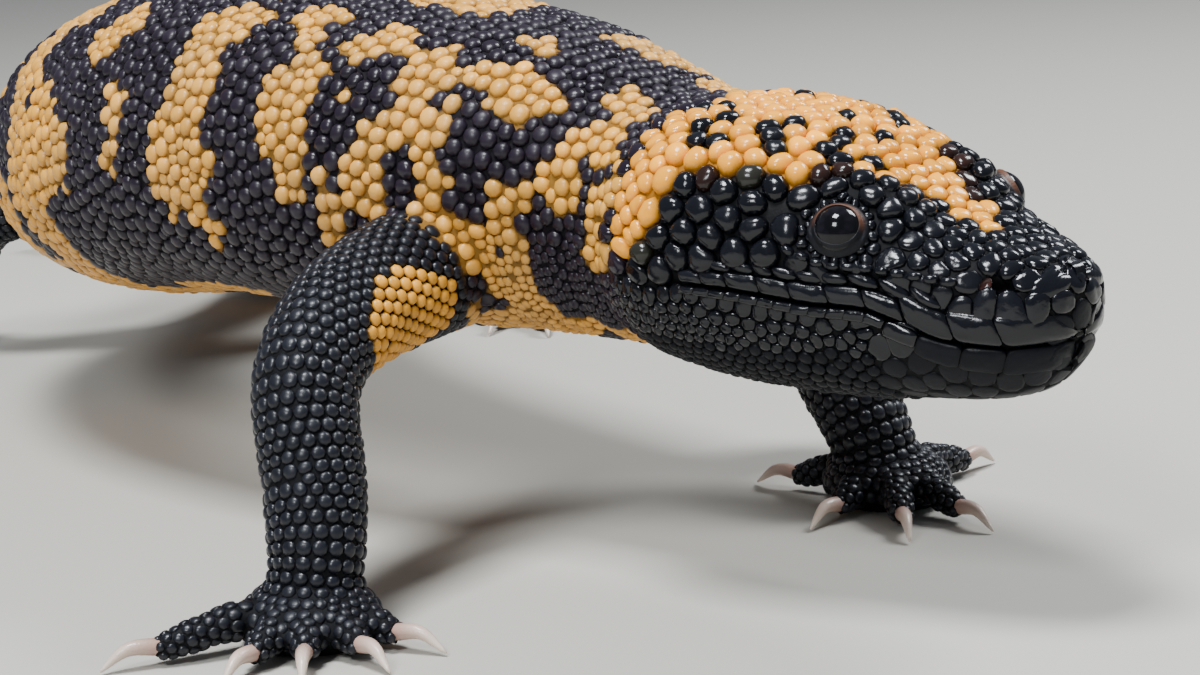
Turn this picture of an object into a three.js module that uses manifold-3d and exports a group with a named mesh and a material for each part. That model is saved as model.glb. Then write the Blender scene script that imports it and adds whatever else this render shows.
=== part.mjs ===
// A life-size gila monster standing with its head raised, in millimetres, +Z up, floor at z = 0.
// +X is forward along the middle of the trunk and +Y is the animal's left. The body is one long
// tube of sections along a bent spine, cut into head, neck, trunk and tail lengths. The limbs are
// tubes along their own curves, and the scutes of the head are low domes set on the surface.
import * as THREE from "three";
import { mergeVertices } from "three/addons/utils/BufferGeometryUtils.js";
import Module from "manifold-3d";

const wasm = await Module();
wasm.setup();

// Driving sizes
const HEAD_LENGTH = 62;
const BODY_LENGTH = 452;
const SEAM = 0.3;
const SPINE_STEP = 1;
const FLOOR_DEPTH = 40;
const FLOOR_REACH = 700;

// Where the snout stands in plan, so that the middle of the footprint is at the origin.
const SNOUT_AT = { x: 201.3, y: 73.3 };

// Body sections from snout to tail tip: distance from the snout, half width, height above the
// spine line, depth below it.
const SECTIONS = [
  [0, 0.4, 0.4, 0.4],
  [0.8, 4.6, 4.0, 6.6],
  [2.6, 7.8, 5.8, 10.6],
  [6, 11.2, 7.2, 14.2],
  [12, 14.6, 8.6, 16.2],
  [20, 17.6, 11.0, 17.6],
  [28, 20.4, 14.4, 18.8],
  [36, 22.8, 16.8, 19.8],
  [46, 25.6, 18.8, 20.4],
  [55, 26.4, 18.8, 20.2],
  [62, 24.4, 17.6, 19.4],
  [70, 22.0, 17.0, 20.8],
  [80, 23.0, 18.6, 22.6],
  [94, 27.0, 21.4, 24.4],
  [112, 31.0, 24.0, 25.4],
  [150, 36.0, 27.5, 26.0],
  [190, 38.5, 29.0, 26.0],
  [230, 36.5, 27.0, 25.0],
  [262, 30.5, 23.5, 22.0],
  [286, 24.5, 19.5, 19.5],
  [306, 19.5, 17.0, 16.5],
  [332, 17.0, 15.2, 14.8],
  [366, 15.4, 13.8, 13.4],
  [400, 12.6, 11.4, 11.0],
  [430, 8.6, 8.0, 7.6],
  [446, 4.8, 4.4, 4.2],
  [452, 0.4, 0.4, 0.4],
];

// Height of the spine line above the floor.
const SPINE_HEIGHT = [
  [0, 43],
  [62, 50],
  [100, 55],
  [150, 56],
  [200, 50],
  [250, 42],
  [290, 33],
  [330, 18.5],
  [366, 13.2],
  [400, 10.7],
  [430, 7.3],
  [452, 4.0],
];

// Heading of the body in plan, in degrees towards the left of +X.
const SPINE_HEADING = [
  [0, 30],
  [62, 30],
  [100, 31],
  [150, 23],
  [200, 7],
  [270, -18],
  [320, -20],
  [380, 20],
  [452, 70],
];

// How square a section is: 2 is an ellipse.
const SQUARENESS = [
  [0, 2.3],
  [20, 2.6],
  [50, 2.7],
  [75, 2.3],
  [190, 2.25],
  [300, 2.1],
  [452, 2.0],
];

// Value of a table at distance s, on a smooth curve through its rows.
function along(table, s, column = 1) {
  const last = table.length - 1;
  const i = Math.max(0, Math.min(last - 1, table.findIndex((row) => row[0] > s) - 1));
  const k = s >= table[last][0] ? last - 1 : i;
  const [a, b] = [table[k], table[k + 1]];
  const slope = (p, q) => (q[column] - p[column]) / (q[0] - p[0]);
  const inner = slope(a, b);
  const tangent = (left, right) => (left * right <= 0 ? 0 : (2 * left * right) / (left + right));
  const m0 = k > 0 ? tangent(slope(table[k - 1], a), inner) : inner;
  const m1 = k + 2 <= last ? tangent(inner, slope(b, table[k + 2])) : inner;
  const h = b[0] - a[0];
  const t = THREE.MathUtils.clamp((s - a[0]) / h, 0, 1);
  return (
    a[column] * (1 + 2 * t) * (1 - t) ** 2 +
    h * m0 * t * (1 - t) ** 2 +
    b[column] * t * t * (3 - 2 * t) +
    h * m1 * t * t * (t - 1)
  );
}

// The spine line in plan, walked backwards from the snout.
const SPINE = [];
{
  let [x, y] = [SNOUT_AT.x, SNOUT_AT.y];
  for (let s = 0; s <= BODY_LENGTH; s += SPINE_STEP) {
    SPINE.push(new THREE.Vector3(x, y, along(SPINE_HEIGHT, s)));
    const heading = THREE.MathUtils.degToRad(along(SPINE_HEADING, s + SPINE_STEP / 2));
    x -= SPINE_STEP * Math.cos(heading);
    y -= SPINE_STEP * Math.sin(heading);
  }
}

// Place and directions of the spine at distance s from the snout.
function spineFrame(s) {
  const at = THREE.MathUtils.clamp(s / SPINE_STEP, 0, SPINE.length - 1.001);
  const i = Math.floor(at);
  const origin = SPINE[i].clone().lerp(SPINE[i + 1], at - i);
  const behind = SPINE[Math.min(SPINE.length - 1, i + 3)];
  const forward = SPINE[Math.max(0, i - 2)].clone().sub(behind).normalize();
  const left = new THREE.Vector3(0, 0, 1).cross(forward).normalize();
  const up = forward.clone().cross(left);
  return { origin, forward, left, up };
}

// A point from a distance along the spine and an offset to the left and up from it.
function bodyOffset(s, left, up) {
  const f = spineFrame(s);
  return f.origin.addScaledVector(f.left, left).addScaledVector(f.up, up);
}

// Offset of the body's surface at angle a, where 0 is the back and 90 degrees the left flank.
function sectionOffset(s, a, grow = 0) {
  const power = 2 / along(SQUARENESS, s);
  const [sin, cos] = [Math.sin(a), Math.cos(a)];
  const high = along(SECTIONS, s, cos > 0 ? 2 : 3);
  return {
    left: Math.sign(sin) * Math.abs(sin) ** power * (along(SECTIONS, s, 1) + grow),
    up: Math.sign(cos) * Math.abs(cos) ** power * (high + grow),
  };
}

function bodyPoint(s, a, grow = 0) {
  const o = sectionOffset(s, a, grow);
  return bodyOffset(s, o.left, o.up);
}

// A closed geometry through rings of equal point counts, with a flat or pointed cap at each end.
function loft(rings) {
  const count = rings[0].length;
  const middle = (ring) =>
    ring.reduce((sum, p) => sum.add(p), new THREE.Vector3()).divideScalar(count);
  const points = [...rings.flat(), middle(rings[0]), middle(rings.at(-1))];
  const faces = [];
  rings.slice(1).forEach((_, i) => {
    for (let j = 0; j < count; j++) {
      const [a, b] = [i * count + j, i * count + ((j + 1) % count)];
      faces.push(a, b, a + count, b, b + count, a + count);
    }
  });
  const start = (rings.length - 1) * count;
  for (let j = 0; j < count; j++) {
    const next = (j + 1) % count;
    faces.push(points.length - 2, next, j);
    faces.push(points.length - 1, start + j, start + next);
  }
  const geometry = new THREE.BufferGeometry().setFromPoints(points);
  geometry.setIndex(faces);
  return geometry;
}

// Geometry to solid, turned outwards where it was built the other way round.
function solid(geometry, matrix = new THREE.Matrix4()) {
  const bare = new THREE.BufferGeometry();
  bare.setAttribute("position", geometry.getAttribute("position").clone());
  bare.setIndex(geometry.index ? geometry.index.clone() : null);
  bare.applyMatrix4(matrix);
  const merged = mergeVertices(bare, 1e-4);
  const build = (triVerts) =>
    new wasm.Manifold(
      new wasm.Mesh({
        numProp: 3,
        vertProperties: merged.attributes.position.array,
        triVerts,
      }),
    );
  const corners = new Uint32Array(merged.index.array);
  const made = build(corners);
  return made.volume() > 0 ? made : build(corners.reverse());
}

// The largest closed body of a solid.
function largest(made) {
  return made.decompose().reduce((a, b) => (a.volume() > b.volume() ? a : b));
}

function unite(solids) {
  return solids.reduce((a, b) => a.add(b));
}

const part = new THREE.Group();

function addNode(name, made, material) {
  const mesh = largest(made).getMesh();
  const geometry = new THREE.BufferGeometry();
  geometry.setAttribute("position", new THREE.BufferAttribute(mesh.vertProperties, 3));
  geometry.setIndex(new THREE.BufferAttribute(mesh.triVerts, 1));
  geometry.computeVertexNormals();
  const node = new THREE.Mesh(geometry, material);
  node.name = name;
  part.add(node);
}

// Finishes
const blackSkin = new THREE.MeshStandardMaterial({ color: 0x17181c, roughness: 0.3 });
const bandedSkin = new THREE.MeshStandardMaterial({ color: 0xd9a25c, roughness: 0.45 });
const eyeFinish = new THREE.MeshStandardMaterial({ color: 0x07070a, roughness: 0.05 });

// A length of the body between two distances, with rings every few millimetres.
function bodyLength(from, to, rings, sides, grow = 0) {
  const made = [];
  for (let i = 0; i <= rings; i++) {
    const s = from + ((to - from) * i) / rings;
    made.push(
      Array.from({ length: sides }, (_, j) => bodyPoint(s, (j / sides) * Math.PI * 2, grow)),
    );
  }
  return solid(loft(made));
}

const floorBlock = solid(
  new THREE.BoxGeometry(FLOOR_REACH, FLOOR_REACH, FLOOR_DEPTH),
  new THREE.Matrix4().makeTranslation(0, 0, -FLOOR_DEPTH / 2),
);

// Head: the sections close at the snout, so its rings crowd there.
const HEAD_RINGS = [0, 0.8, 2.6, 6, 12, 18, 24, 30, 36, 42, 48, 54, 59, HEAD_LENGTH - SEAM / 2];
const headSolid = solid(
  loft(
    HEAD_RINGS.map((s) =>
      Array.from({ length: 24 }, (_, j) => bodyPoint(s, (j / 24) * Math.PI * 2)),
    ),
  ),
);

// The line of the mouth on one side: distance from the snout, height from the spine line.
const MOUTH_LINE = [
  [0.5, -4.2],
  [3, -4.8],
  [6, -5.2],
  [12, -5.0],
  [17, -3.4],
  [23, -2.2],
  [30, -2.6],
  [39, -2.4],
  [46, -2.6],
  [52, -4.2],
];
const MOUTH_GROOVE = 0.55;
const EYE = { s: 27.2, up: 8.0, radius: 3.5, sunk: 2.1, gap: 0.3 };
const LID = { radius: 3.5, thick: 1.0 };
const NOSTRIL = { s: 5.6, up: 3.4, length: 1.7, height: 1.1, depth: 1.8 };
const EAR = { s: 58.4, up: -1.5, length: 1.3, height: 4.2, depth: 2.6 };

// Half width of the section at a height from the spine line.
function widthAt(s, up) {
  const power = along(SQUARENESS, s);
  const share = Math.min(1, Math.abs(up) / along(SECTIONS, s, up > 0 ? 2 : 3));
  return along(SECTIONS, s, 1) * (1 - share ** power) ** (1 / power);
}

// Place on the flank of the body at a height, with the way out of it and the way along it.
function flank(s, up, side, lift = 0) {
  const at = (ds, du) => bodyOffset(s + ds, side * widthAt(s + ds, up + du), up + du);
  const point = at(0, 0);
  const along1 = at(-0.4, 0).sub(at(0.4, 0)).normalize();
  const over = at(0, 0.4).sub(at(0, -0.4)).normalize();
  const out = over.clone().cross(along1).multiplyScalar(-side).normalize();
  if (out.dot(point.clone().sub(bodyOffset(s, 0, up))) < 0) out.negate();
  const rise = out.clone().cross(along1).normalize();
  if (rise.z < 0) rise.negate();
  return { point: point.addScaledVector(out, lift), out, along: along1, rise };
}

// Matrix that lays local x along the body, y across it upwards and z out of it.
function seat({ point, out, along: way }, lift = 0) {
  const y = out.clone().cross(way).normalize();
  return new THREE.Matrix4()
    .makeBasis(way, y, out)
    .setPosition(point.clone().addScaledVector(out, lift));
}

const headForms = [];
const headHollows = [];
const eyes = [];
for (const side of [-1, 1]) {
  const mouth = new THREE.CatmullRomCurve3(MOUTH_LINE.map(([s, up]) => flank(s, up, side).point));
  headHollows.push(tube(mouth, 0, 1, 16, 4, () => MOUTH_GROOVE));
  const nostril = seat(flank(NOSTRIL.s, NOSTRIL.up, side));
  const pit = new THREE.SphereGeometry(1, 8, 6).scale(NOSTRIL.length, NOSTRIL.height, NOSTRIL.depth);
  headHollows.push(solid(pit, nostril));
  const slit = new THREE.SphereGeometry(1, 8, 6).scale(EAR.length, EAR.height, EAR.depth);
  headHollows.push(solid(slit, seat(flank(EAR.s, EAR.up, side))));
  const seatOfEye = flank(EYE.s, EYE.up, side);
  const ball = new THREE.SphereGeometry(EYE.radius, 12, 8);
  eyes.push(solid(ball, seat(seatOfEye, -EYE.sunk)));
  const socket = new THREE.SphereGeometry(EYE.radius + EYE.gap, 12, 8);
  headHollows.push(solid(socket, seat(seatOfEye, -EYE.sunk)));
  const lids = new THREE.TorusGeometry(LID.radius, LID.thick, 5, 14);
  headForms.push(solid(lids, seat(seatOfEye, -0.2)));
}

// Scutes: raised domes over crown, brows and temples, and the plates along both lips.
const SCUTE = { pitch: 4.95, row: 4.4, radius: 2.25, height: 1.25, sunk: 1.1, uneven: 0.12 };
const SCUTE_ROWS = { first: 9, last: 57.5 };
const LIP_PLATE = { pitch: 4.5, radius: 1.75, height: 0.8, long: 1.25, from: 4.5, to: 46, off: 2.05 };
const EYE_CLEAR = 6.5;
const NOSTRIL_CLEAR = 3.4;
let seed = 20;
function random() {
  seed = (seed * 16807) % 2147483647;
  return seed / 2147483647;
}

// A six-sided dome with its root sunk below the surface it stands on.
function dome(place, radius, height, long = 1, turn = 0) {
  const ring = (r, z) =>
    Array.from({ length: 6 }, (_, i) => {
      const a = turn + (i / 6) * Math.PI * 2;
      return new THREE.Vector3(long * r * Math.cos(a), r * Math.sin(a), z);
    });
  const rings = [ring(radius, -SCUTE.sunk), ring(radius * 0.66, height * 0.8)];
  const geometry = loft(rings);
  geometry.getAttribute("position").setXYZ(13, 0, 0, height);
  return solid(geometry, place);
}

// Place on the surface at distance s and angle a, with the ways along it and out of it.
function surfaceSeat(s, a) {
  const point = bodyPoint(s, a);
  const way = bodyPoint(s - 0.4, a).sub(bodyPoint(s + 0.4, a)).normalize();
  const round = bodyPoint(s, a + 0.02).sub(bodyPoint(s, a - 0.02)).normalize();
  const out = round.cross(way).normalize();
  if (out.dot(point.clone().sub(bodyOffset(s, 0, 0))) < 0) out.negate();
  return { point, out, along: way };
}

const eyeSpots = [-1, 1].map((side) => flank(EYE.s, EYE.up, side).point);
const nostrilSpots = [-1, 1].map((side) => flank(NOSTRIL.s, NOSTRIL.up, side).point);
const scutes = [];
let rowCount = 0;
for (let s = SCUTE_ROWS.first; s <= SCUTE_ROWS.last; s += SCUTE.row) {
  rowCount += 1;
  for (const side of [-1, 1]) {
    let gone = rowCount % 2 ? 0 : SCUTE.pitch / 2;
    let before1 = bodyPoint(s, 0);
    let next = side > 0 ? gone : gone || SCUTE.pitch;
    for (let a = 0, arc = 0; a < 2.4; a += 0.01) {
      const here = bodyPoint(s, side * a);
      arc += here.distanceTo(before1);
      before1 = here;
      if (sectionOffset(s, a).up < along(MOUTH_LINE, s) + LIP_PLATE.off + SCUTE.radius + 1.3) break;
      if (arc < next) continue;
      next += SCUTE.pitch;
      const clear = (spots, room) => spots.every((spot) => here.distanceTo(spot) > room);
      if (!clear(eyeSpots, EYE_CLEAR) || !clear(nostrilSpots, NOSTRIL_CLEAR)) continue;
      const size = SCUTE.radius * (1 - SCUTE.uneven * random());
      const place = seat(surfaceSeat(s + 0.5 * (random() - 0.5), side * a));
      scutes.push(dome(place, size, SCUTE.height * (0.85 + 0.3 * random()), 1, random()));
    }
  }
}
for (const side of [-1, 1]) {
  for (const lip of [-1, 1]) {
    for (let s = LIP_PLATE.from; s < LIP_PLATE.to; s += LIP_PLATE.pitch) {
      const place = seat(flank(s, along(MOUTH_LINE, s) + lip * LIP_PLATE.off, side));
      scutes.push(dome(place, LIP_PLATE.radius, LIP_PLATE.height, LIP_PLATE.long, Math.PI / 6));
    }
  }
}
addNode(
  "head",
  unite([headSolid, ...headForms, ...scutes]).subtract(unite(headHollows)),
  blackSkin,
);

addNode("eye_right", eyes[0], eyeFinish);
addNode("eye_left", eyes[1], eyeFinish);


// Neck, trunk and tail lengths
const LENGTHS = [
  ["neck", 62, 86, 5, 24, blackSkin],
  ["chest", 86, 140, 6, 28, bandedSkin],
  ["belly", 140, 222, 7, 28, bandedSkin],
  ["hips", 222, 302, 7, 26, bandedSkin],
  ["tail_base", 302, 350, 6, 20, bandedSkin],
  ["tail_middle", 350, 402, 6, 18, bandedSkin],
  ["tail_tip", 402, BODY_LENGTH, 7, 16, bandedSkin],
];
for (const [name, from, to, rings, sides, finish] of LENGTHS) {
  const end = to === BODY_LENGTH ? to : to - SEAM / 2;
  const piece = bodyLength(from + SEAM / 2, end, rings, sides);
  addNode(name, piece.subtract(floorBlock), finish);
}

// Limbs. Places are from the spine at a distance along it: forward, outwards and above the floor.
const LIMB_SIDES = 10;
const LIMB_RADII = [
  [0, 11],
  [0.3, 8.2],
  [0.5, 7.6],
  [0.75, 7.2],
  [1, 6.2],
];
const LEG_THICKER = 1.06;
const JOINT_ROUNDING = 0.22;
const TOE_RADIUS = { root: 3.1, tip: 2.1 };
const CLAW = { length: 7, radius: 1.25 };
const LIMBS = [
  {
    name: "arm_right",
    at: 98,
    side: -1,
    thick: 1,
    joints: [
      [-4, 14, 44],
      [5, 53, 38],
      [15, 61, 14],
    ],
    palm: [16, 64],
    toes: [
      [113, 22],
      [72, 15],
      [44, 14],
      [12, 14],
      [-16, 14],
    ],
  },
  {
    name: "arm_left",
    at: 98,
    side: 1,
    thick: 1,
    joints: [
      [-4, 14, 44],
      [4, 46, 34],
      [29, 36, 14],
    ],
    palm: [33, 37],
    toes: [
      [92, 21],
      [-15, 19],
      [-44, 19],
      [-84, 14],
      [-172, 17],
    ],
  },
  {
    name: "leg_right",
    at: 282,
    side: -1,
    thick: LEG_THICKER,
    joints: [
      [0, 12, 30],
      [13, 45, 34],
      [-1, 60, 18],
    ],
    palm: [2, 63],
    toes: [
      [100, 26],
      [62, 28],
      [36, 26],
      [12, 23],
      [-14, 19],
    ],
  },
  {
    name: "leg_left",
    at: 282,
    side: 1,
    thick: LEG_THICKER,
    joints: [
      [0, 12, 30],
      [-5, 47, 35],
      [-19, 55, 18],
    ],
    palm: [-18, 58],
    toes: [
      [100, 26],
      [62, 28],
      [36, 26],
      [12, 23],
      [-14, 19],
    ],
  },
];
const PALM = { length: 10.5, width: 9.4, height: 6.4, middle: 3.4 };
const bodyGrown = bodyLength(66, 330, 44, 28, SEAM);

// Plan directions at a distance along the spine, level with the floor.
function levelFrame(s) {
  const f = spineFrame(s);
  const forward = new THREE.Vector3(f.forward.x, f.forward.y, 0).normalize();
  return { origin: new THREE.Vector3(f.origin.x, f.origin.y, 0), forward, left: f.left };
}

// A round tube along a curve between two shares of it, with a radius for each share.
function tube(curve, from, to, steps, sides, radiusAt) {
  const rings = [];
  for (let i = 0; i <= steps; i++) {
    const u = from + ((to - from) * i) / steps;
    const centre = curve.getPoint(u);
    const forward = curve.getTangent(u);
    const across = new THREE.Vector3(0, 0, 1).cross(forward).normalize();
    const over = forward.clone().cross(across);
    rings.push(
      Array.from({ length: sides }, (_, j) => {
        const a = (j / sides) * Math.PI * 2;
        return centre
          .clone()
          .addScaledVector(across, radiusAt(u) * Math.cos(a))
          .addScaledVector(over, radiusAt(u) * Math.sin(a));
      }),
    );
  }
  return solid(loft(rings));
}

// Palm or sole, five toes that fan from it, and a claw on each, cut flat where they meet the floor.
function foot(palm, direction, toes, thick) {
  const heel = new THREE.Matrix4().makeRotationZ(Math.atan2(direction.y, direction.x));
  heel.setPosition(palm.x, palm.y, PALM.middle);
  const pad = new THREE.SphereGeometry(1, 10, 6).scale(PALM.length, PALM.width, PALM.height);
  const pieces = [solid(pad, heel)];
  for (const [turn, reach] of toes) {
    const way = direction.clone().applyAxisAngle(new THREE.Vector3(0, 0, 1), turn);
    const out = (share, height) =>
      palm.clone().setZ(height).addScaledVector(way, reach * share);
    const toe = new THREE.CatmullRomCurve3([
      out(0.2, 4.4),
      out(0.5, 4.4),
      out(0.76, 3.3),
      out(1, 2.0),
    ]);
    const girth = (u) =>
      thick * THREE.MathUtils.lerp(TOE_RADIUS.root, TOE_RADIUS.tip, u) * (u > 0.98 ? 0.7 : 1);
    pieces.push(tube(toe, 0, 1, 3, 6, girth));
    const tip = reach + CLAW.length;
    const claw = new THREE.CatmullRomCurve3([
      out(0.93, 2.6),
      out((reach + CLAW.length * 0.45) / reach, 2.9),
      out(tip / reach, 0.5),
    ]);
    pieces.push(tube(claw, 0, 1, 3, 4, (u) => CLAW.radius * (1 - 0.85 * u * u)));
  }
  return unite(pieces);
}

for (const { name, at, side, thick, joints, palm, toes } of LIMBS) {
  const f = levelFrame(at);
  const place = ([forward, out, height]) =>
    f.origin
      .clone()
      .addScaledVector(f.forward, forward)
      .addScaledVector(f.left, side * out)
      .setZ(height);
  const palmAt = place([...palm, 0]);
  const marks = [...joints.map(place), palmAt.clone().setZ(PALM.middle)];
  const points = marks.flatMap((mark, i) => {
    const [last, next] = [marks[i - 1], marks[i + 1]];
    if (!last || !next) return [mark];
    return [last, next].map((other) => mark.clone().lerp(other, JOINT_ROUNDING));
  });
  const curve = new THREE.CatmullRomCurve3(points, false, "centripetal");
  const radiusAt = (u) => thick * along(LIMB_RADII, u);
  const whole = tube(curve, 0, 0.97, 11, LIMB_SIDES, radiusAt);
  const beyond = (body, u) => {
    const n = curve.getTangent(u);
    return body.trimByPlane(n.toArray(), n.dot(curve.getPoint(u)) + SEAM / 2);
  };
  const before = (body, u) => {
    const n = curve.getTangent(u).negate();
    return body.trimByPlane(n.toArray(), n.dot(curve.getPoint(u)) + SEAM / 2);
  };
  addNode(name + "_upper", before(whole, 0.345).subtract(bodyGrown), blackSkin);
  addNode(name + "_lower", before(beyond(whole, 0.345), 0.7), blackSkin);
  const turned = toes.map(([angle, reach]) => [THREE.MathUtils.degToRad(side * angle), reach]);
  const paw = foot(palmAt, f.forward, turned, thick);
  const ankle = beyond(whole, 0.7);
  addNode(name + "_foot", paw.add(ankle).subtract(floorBlock), blackSkin);
}

export default part;
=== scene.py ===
import math

import bpy
import numpy as np
from mathutils import Matrix, Vector
from mathutils.bvhtree import BVHTree
from mathutils.kdtree import KDTree


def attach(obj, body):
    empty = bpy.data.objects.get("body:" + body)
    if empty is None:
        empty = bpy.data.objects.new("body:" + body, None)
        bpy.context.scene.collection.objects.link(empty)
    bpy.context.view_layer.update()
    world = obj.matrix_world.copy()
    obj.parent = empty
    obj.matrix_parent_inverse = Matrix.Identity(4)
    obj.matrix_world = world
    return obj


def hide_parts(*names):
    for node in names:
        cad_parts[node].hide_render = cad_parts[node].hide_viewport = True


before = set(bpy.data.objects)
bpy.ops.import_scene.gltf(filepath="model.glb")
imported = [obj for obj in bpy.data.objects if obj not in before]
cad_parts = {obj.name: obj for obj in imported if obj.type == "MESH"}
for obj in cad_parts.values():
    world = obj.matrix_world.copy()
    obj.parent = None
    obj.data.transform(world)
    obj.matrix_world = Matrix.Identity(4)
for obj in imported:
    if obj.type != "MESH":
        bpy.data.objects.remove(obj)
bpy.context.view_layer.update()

# Floor, lights and camera.
# A plain pale floor, three soft lamps under a dim bluish sky, and a camera just above the
# animal's eye level and a little ahead of its right shoulder.
FLOOR_SIZE, FLOOR_COLOUR, FLOOR_ROUGHNESS = 14.0, (0.50, 0.48, 0.43, 1), 0.8
LAMP_COLOUR = (0.93, 0.965, 1.0)
SKY_COLOUR, SKY_STRENGTH = (0.80, 0.87, 1.0, 1), 0.24
CAMERA_AT, CAMERA_LENS = (0.5490, -0.0770, 0.1155), 90.0
CAMERA_TURN, CAMERA_DOWN, CAMERA_ROLL = 166.0, 11.1, -2.9
# Name, place, aim, size and watts
SOFTBOXES = [
    ("overhead", (0.26, -0.16, 0.90), (0.14, 0.02, 0.04), 0.26, 13.0),
    ("front", (0.80, -0.55, 0.75), (0.14, 0.0, 0.03), 0.30, 9.0),
    ("rim", (-0.10, 0.70, 0.75), (0.10, 0.03, 0.04), 0.34, 9.0),
]


def put(name, data):
    """Puts a mesh, lamp or camera in the scene."""
    thing = bpy.data.objects.new(name, data)
    bpy.context.collection.objects.link(thing)
    return thing


floor_mesh = bpy.data.meshes.new("floor")
half = FLOOR_SIZE / 2
corners = [(-half, -half, 0), (half, -half, 0), (half, half, 0), (-half, half, 0)]
floor_mesh.from_pydata(corners, [], [(0, 1, 2, 3)])
floor = put("floor", floor_mesh)
floor_material = bpy.data.materials.new("pale_floor")
floor_material.use_nodes = True
floor_shader = floor_material.node_tree.nodes["Principled BSDF"]
floor_shader.inputs["Base Color"].default_value = FLOOR_COLOUR
floor_shader.inputs["Roughness"].default_value = FLOOR_ROUGHNESS
floor_mesh.materials.append(floor_material)

for name, lamp_at, aim, size, power in SOFTBOXES:
    lamp = bpy.data.lights.new(name, "AREA")
    lamp.size = size
    lamp.energy = power
    lamp.color = LAMP_COLOUR
    box = put(name, lamp)
    box.location = lamp_at
    box.rotation_euler = (Vector(aim) - Vector(lamp_at)).to_track_quat("-Z", "Y").to_euler()

world = bpy.context.scene.world or bpy.data.worlds.new("studio")
bpy.context.scene.world = world
world.use_nodes = True
sky = world.node_tree.nodes["Background"]
sky.inputs["Color"].default_value = SKY_COLOUR
sky.inputs["Strength"].default_value = SKY_STRENGTH

turn, down, roll = (math.radians(v) for v in (CAMERA_TURN, -CAMERA_DOWN, CAMERA_ROLL))
look = Vector((math.cos(turn) * math.cos(down), math.sin(turn) * math.cos(down), math.sin(down)))
level = look.cross(Vector((0, 0, 1))).normalized()
camera_right = level * math.cos(roll) + level.cross(look) * math.sin(roll)
camera_up = camera_right.cross(look)
camera = put("camera", bpy.data.cameras.new("camera"))
camera.data.sensor_width = 36
camera.data.lens = CAMERA_LENS
camera.data.clip_start = 0.01
facing = Matrix((camera_right, camera_up, -look)).transposed().to_quaternion()
camera.matrix_world = Matrix.LocRotScale(Vector(CAMERA_AT), facing, None)
bpy.context.scene.camera = camera

# The body's line and girth, in millimetres.
# A stout body on a spine that swings left and then right, a wide flat head held up, and a thick
# tail that lies on the floor. The skin goes over this and lies inside it by the beads' height.
MM = 0.001
BODY_LENGTH, HEAD_LENGTH = 452, 62
SNOUT_AT = (201.3, 73.3)
# Distance from the snout, half width, height above the spine line, depth below it
SECTIONS = np.array([
    [0, 0.4, 0.4, 0.4], [0.8, 4.6, 4.0, 6.6], [2.6, 7.8, 5.8, 10.6], [6, 11.2, 7.2, 14.2],
    [12, 14.6, 8.6, 16.2], [20, 17.6, 11.0, 17.6], [28, 20.4, 14.4, 18.8],
    [36, 22.8, 16.8, 19.8], [46, 25.6, 18.8, 20.4], [55, 26.4, 18.8, 20.2],
    [62, 24.4, 17.6, 19.4], [70, 22.0, 17.0, 20.8], [80, 23.0, 18.6, 22.6],
    [94, 27.0, 21.4, 24.4], [112, 31.0, 24.0, 25.4], [150, 36.0, 27.5, 26.0],
    [190, 38.5, 29.0, 26.0], [230, 36.5, 27.0, 25.0], [262, 30.5, 23.5, 22.0],
    [286, 24.5, 19.5, 19.5], [306, 19.5, 17.0, 16.5], [332, 17.0, 15.2, 14.8],
    [366, 15.4, 13.8, 13.4], [400, 12.6, 11.4, 11.0], [430, 8.6, 8.0, 7.6],
    [446, 4.8, 4.4, 4.2], [452, 0.4, 0.4, 0.4],
])
SPINE_HEIGHT = np.array([
    [0, 43], [62, 50], [100, 55], [150, 56], [200, 50], [250, 42], [290, 33],
    [330, 18.5], [366, 13.2], [400, 10.7], [430, 7.3], [452, 4.0],
])
SPINE_HEADING = np.array([
    [0, 30], [62, 30], [100, 31], [150, 23], [200, 7], [270, -18], [320, -20],
    [380, 20], [452, 70],
])
SQUARENESS = np.array([
    [0, 2.3], [20, 2.6], [50, 2.7], [75, 2.3], [190, 2.25], [300, 2.1], [452, 2.0],
])


def along(rows, s, column=1):
    """Value of a table at distance s, on a smooth curve through its rows."""
    s = np.asarray(s, float)
    x, y = rows[:, 0].astype(float), rows[:, column].astype(float)
    slope = np.diff(y) / np.diff(x)
    same = slope[:-1] * slope[1:] > 0
    total = np.where(same, slope[:-1] + slope[1:], 1)
    inner = np.where(same, 2 * slope[:-1] * slope[1:] / total, 0)
    tangent = np.concatenate([slope[:1], inner, slope[-1:]])
    k = np.clip(np.searchsorted(x, s, side="right") - 1, 0, len(x) - 2)
    h = x[k + 1] - x[k]
    t = np.clip((s - x[k]) / h, 0, 1)
    return (
        y[k] * (1 + 2 * t) * (1 - t) ** 2
        + h * tangent[k] * t * (1 - t) ** 2
        + y[k + 1] * t * t * (3 - 2 * t)
        + h * tangent[k + 1] * t * t * (t - 1)
    )


def unit(v):
    return v / np.maximum(np.linalg.norm(v, axis=-1, keepdims=True), 1e-12)


steps = np.arange(BODY_LENGTH + 1)
heading = np.radians(along(SPINE_HEADING, steps[:-1] + 0.5))
walk = np.cumsum(np.stack([np.cos(heading), np.sin(heading)], 1), 0)
walk = SNOUT_AT - np.concatenate([[[0, 0]], walk])
SPINE = np.stack([walk[:, 0], walk[:, 1], along(SPINE_HEIGHT, steps)], 1)
SPINE_FORWARD = unit(SPINE[np.maximum(steps - 2, 0)] - SPINE[np.minimum(steps + 3, BODY_LENGTH)])


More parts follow.
